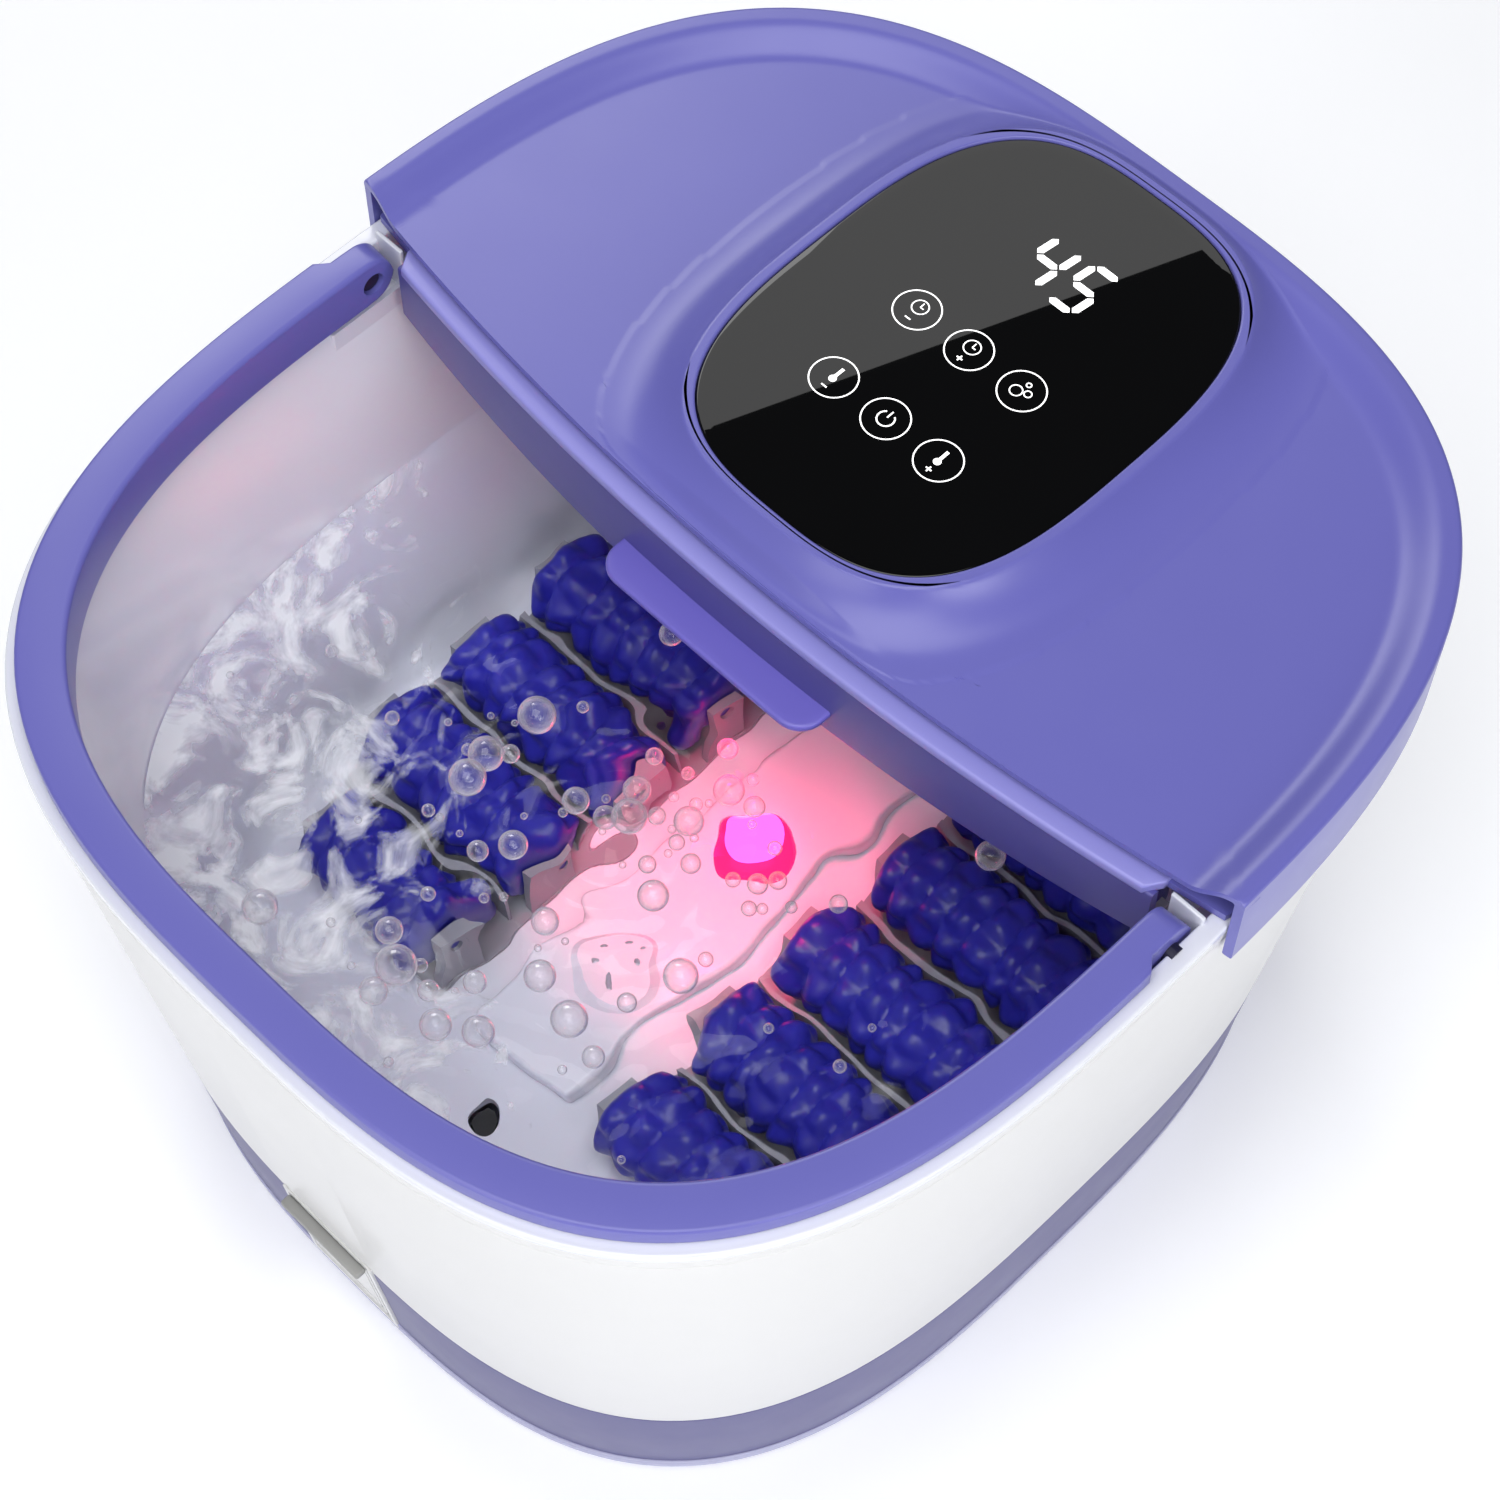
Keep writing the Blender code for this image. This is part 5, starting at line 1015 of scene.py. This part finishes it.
def bubble_material():
    """A clear bubble with a glossy rim mixed with a diffuse white: painted sheen that keeps the rim light."""
    material, tree = shader_tree("bubble")
    gloss = added(tree, "BsdfGlossy", Roughness=0.03)
    # The diffuse white is painted sheen in place of the bright reflection that a clear bubble's rim shows.
    rim_sheen_white = added(tree, "BsdfDiffuse", Color=(0.95, 0.92, 0.97, 1))
    clear = added(tree, "BsdfTransparent")
    glossy_sheen_rim = added(tree, "MixShader", Fac=0.45)
    tree.links.new(gloss.outputs["BSDF"], glossy_sheen_rim.inputs[1])
    tree.links.new(rim_sheen_white.outputs["BSDF"], glossy_sheen_rim.inputs[2])
    rim = added(tree, "LayerWeight", Blend=0.42)
    share = added(tree, "MapRange", From_Min=0.05, From_Max=0.75, To_Min=0.07, To_Max=0.85)
    tree.links.new(rim.outputs["Facing"], share.inputs["Value"])
    skin_mix = mixed(tree, share.outputs["Result"], clear.outputs["BSDF"], glossy_sheen_rim.outputs["Shader"])
    tree.links.new(skin_mix, tree.nodes["Material Output"].inputs["Surface"])
    return material


def wave_height(x, y):
    """Ripples that spread from over the air nozzle, plus a slow swell."""
    nozzle_y = (nozzle_low.y + nozzle_high.y) / 2
    far = np.hypot(x, y - nozzle_y)
    swell = SWELL * np.sin(60 * x + 1.3) * np.cos(52 * y + 0.4)
    rings = RING_WAVE * np.exp(-far / RING_FADE) * np.cos(260 * far)
    return swell + rings + CHOP * np.sin(150 * x + 90 * y)


water_half = grown(tub_half(WATER_Z), -0.0004)
water_rows = []
for share in np.concatenate([[0.004], np.linspace(0.02, 1, 70)]):
    ring = plan_ring(tuple(share * size for size in water_half), WATER_Z)
    ring[:, 2] += wave_height(ring[:, 0], ring[:, 1]) * smooth_step((1 - share) / 0.1)
    water_rows.append(ring)
water = skin("water", water_rows, water_material(), None, fill=(0,), sharp=180)
foam_amount = water.data.attributes.new("foam", "FLOAT", "POINT")
for vertex in water.data.vertices:
    x, y = vertex.co.x, vertex.co.y - CENTRE_Y
    edge = ((abs(x) / water_half[0]) ** EXPONENT + (abs(y) / water_half[1]) ** EXPONENT) ** (1 / EXPONENT)
    left_front = max(0.0, min(1.0, (-0.55 * x - 0.83 * y - 0.055) / 0.06))
    foam_amount.data[vertex.index].value = 0.10 * edge ** 3 + 0.30 * left_front - 0.08

# Bubbles gather in loose clusters, each given as x, y, spread and number tried.
BUBBLE_CLUSTERS = ((0.012, -0.040, 0.016, 26), (-0.045, -0.070, 0.018, 14), (0.045, -0.022, 0.014, 9),
                   (-0.010, -0.120, 0.022, 16), (0.035, -0.105, 0.016, 10), (0.0, -0.06, 0.09, 34))
BUBBLE_LEAST = 0.0012
BUBBLE_RANGE = 0.0058
bubble_room = grown(water_half, -0.012)
bm = bmesh.new()
centres = []
for cluster_x, cluster_y, spread, count in BUBBLE_CLUSTERS:
    for _ in range(count):
        x, y = rng.normal(cluster_x, spread), rng.normal(cluster_y, spread)
        size = BUBBLE_LEAST + BUBBLE_RANGE * rng.random() ** 1.8
        level = (abs(x) / bubble_room[0]) ** EXPONENT + (abs(y - CENTRE_Y) / bubble_room[1]) ** EXPONENT
        if level < 1 and all(math.dist((x, y), c[:2]) > 0.7 * (size + c[2]) for c in centres):
            centres.append((x, y, size))
            place = Matrix.Translation((x, y, WATER_Z + 0.3 * size))
            bmesh.ops.create_uvsphere(bm, u_segments=24, v_segments=14, radius=size, matrix=place)
finish_piece(bm, "bubbles", bubble_material(), None, sharp=180)

floor = bpy.data.meshes.new("floor")
REACH = 6.0                   # how far the floor goes on each side
floor.from_pydata([(-REACH, -REACH, 0), (REACH, -REACH, 0), (REACH, REACH, 0), (-REACH, REACH, 0)], [],
                  [(0, 1, 2, 3)])
floor_piece = bpy.data.objects.new("floor", floor)
# The slight glow keeps the floor's soft shadow pale.
floor.materials.append(plastic("floor_paint", srgb(248, 249, 252), 0.8, mottle=0.004, grain=0.0, glow=0.16))
bpy.context.scene.collection.objects.link(floor_piece)

# ---------------------------------------------------------------- camera
AIM = Vector((-0.0166, CENTRE_Y + 0.0263, 0.1))
AZIMUTH = math.radians(44.74)
ELEVATION = math.radians(59.15)
DISTANCE = 1.1336
ROLL = math.radians(0.38)
FOCAL_LENGTH = 81.1
backward = Vector((math.sin(AZIMUTH) * math.cos(ELEVATION), -math.cos(AZIMUTH) * math.cos(ELEVATION),
                   math.sin(ELEVATION)))
camera_data = bpy.data.cameras.new("camera")
camera_data.sensor_width = 36
camera_data.lens = FOCAL_LENGTH
camera = bpy.data.objects.new("camera", camera_data)
turn = (-backward).to_track_quat("-Z", "Y").to_matrix().to_4x4() @ Matrix.Rotation(ROLL, 4, "Z")
camera.matrix_world = Matrix.Translation(AIM + backward * DISTANCE) @ turn
bpy.context.scene.collection.objects.link(camera)
bpy.context.scene.camera = camera


# ---------------------------------------------------------------- light
def hung(name, kind, place, power, colour):
    """A lamp of a given kind, and its light."""
    light = bpy.data.lights.new(name, kind)
    light.energy = power
    light.color = colour
    lamp = bpy.data.objects.new(name, light)
    lamp.location = place
    bpy.context.scene.collection.objects.link(lamp)
    return lamp, light


def area_light(name, place, aim, width, depth, power):
    lamp, light = hung(name, "AREA", place, power, (1, 1, 1))
    light.shape = "RECTANGLE"
    light.size, light.size_y = width, depth
    lamp.rotation_euler = (Vector(aim) - Vector(place)).to_track_quat("-Z", "Y").to_euler()
    return lamp


def point_light(name, place, radius, power, colour):
    light = hung(name, "POINT", place, power, colour)[1]
    light.shadow_soft_size = radius


def spot_light(name, place, cone, radius, power, colour):
    """A soft spot that shines straight down; the cone is in degrees."""
    light = hung(name, "SPOT", place, power, colour)[1]
    light.spot_size = math.radians(cone)
    light.spot_blend = 1.0
    light.shadow_soft_size = radius


world = bpy.data.worlds.new("studio")
world.use_nodes = True
world.node_tree.nodes["Background"].inputs["Color"].default_value = (0.93, 0.95, 1.0, 1)
world.node_tree.nodes["Background"].inputs["Strength"].default_value = 0.08
bpy.context.scene.world = world
bpy.context.scene.view_settings.view_transform = "Standard"

area_light("overhead", (0.35, -0.6, 2.1), (0, 0, 0.1), 1.6, 1.6, 28)
area_light("front_fill", (0.1, -1.9, 1.0), (0, 0, 0.15), 1.2, 1.0, 11)
area_light("right_fill", (1.7, -0.35, 0.95), (-0.05, 0, 0.12), 1.0, 0.9, 15)
area_light("left_near", (-0.95, 0.45, 0.95), (0.02, 0.08, 0.22), 0.6, 0.6, 3.4)
point_light("red_glow", (light_middle.x, light_middle.y, light_top + 0.008), 0.008, 0.025, (1.0, 0.02, 0.14))
spot_light("red_pool", (0.004, light_middle.y - 0.012, WATER_Z + 0.055), 58, 0.015, 1.1, (1.0, 0.01, 0.13))

# A softbox behind the left, placed so that its straight edge crosses the lens's reflection.
BOX_EDGE_MIDDLE = Vector((-0.7098, CENTRE_Y + 0.9784, 1.7))
BOX_EDGE = Vector((0.3542, 0.9352, 0.0))
BOX_OUT = Vector((-0.9352, 0.3542, 0.0))
BOX_SIZE = (0.9, 1.5)
BOX_TILT = math.radians(30)
sideways = BOX_OUT * math.cos(BOX_TILT) - Vector((0, 0, math.sin(BOX_TILT)))
softbox = area_light("softbox", BOX_EDGE_MIDDLE + sideways * BOX_SIZE[0] / 2, (0, 0, 0), *BOX_SIZE, 6.2)
box_turn = Matrix((-sideways, BOX_EDGE, (-sideways).cross(BOX_EDGE))).transposed()
softbox.rotation_euler = box_turn.to_euler()
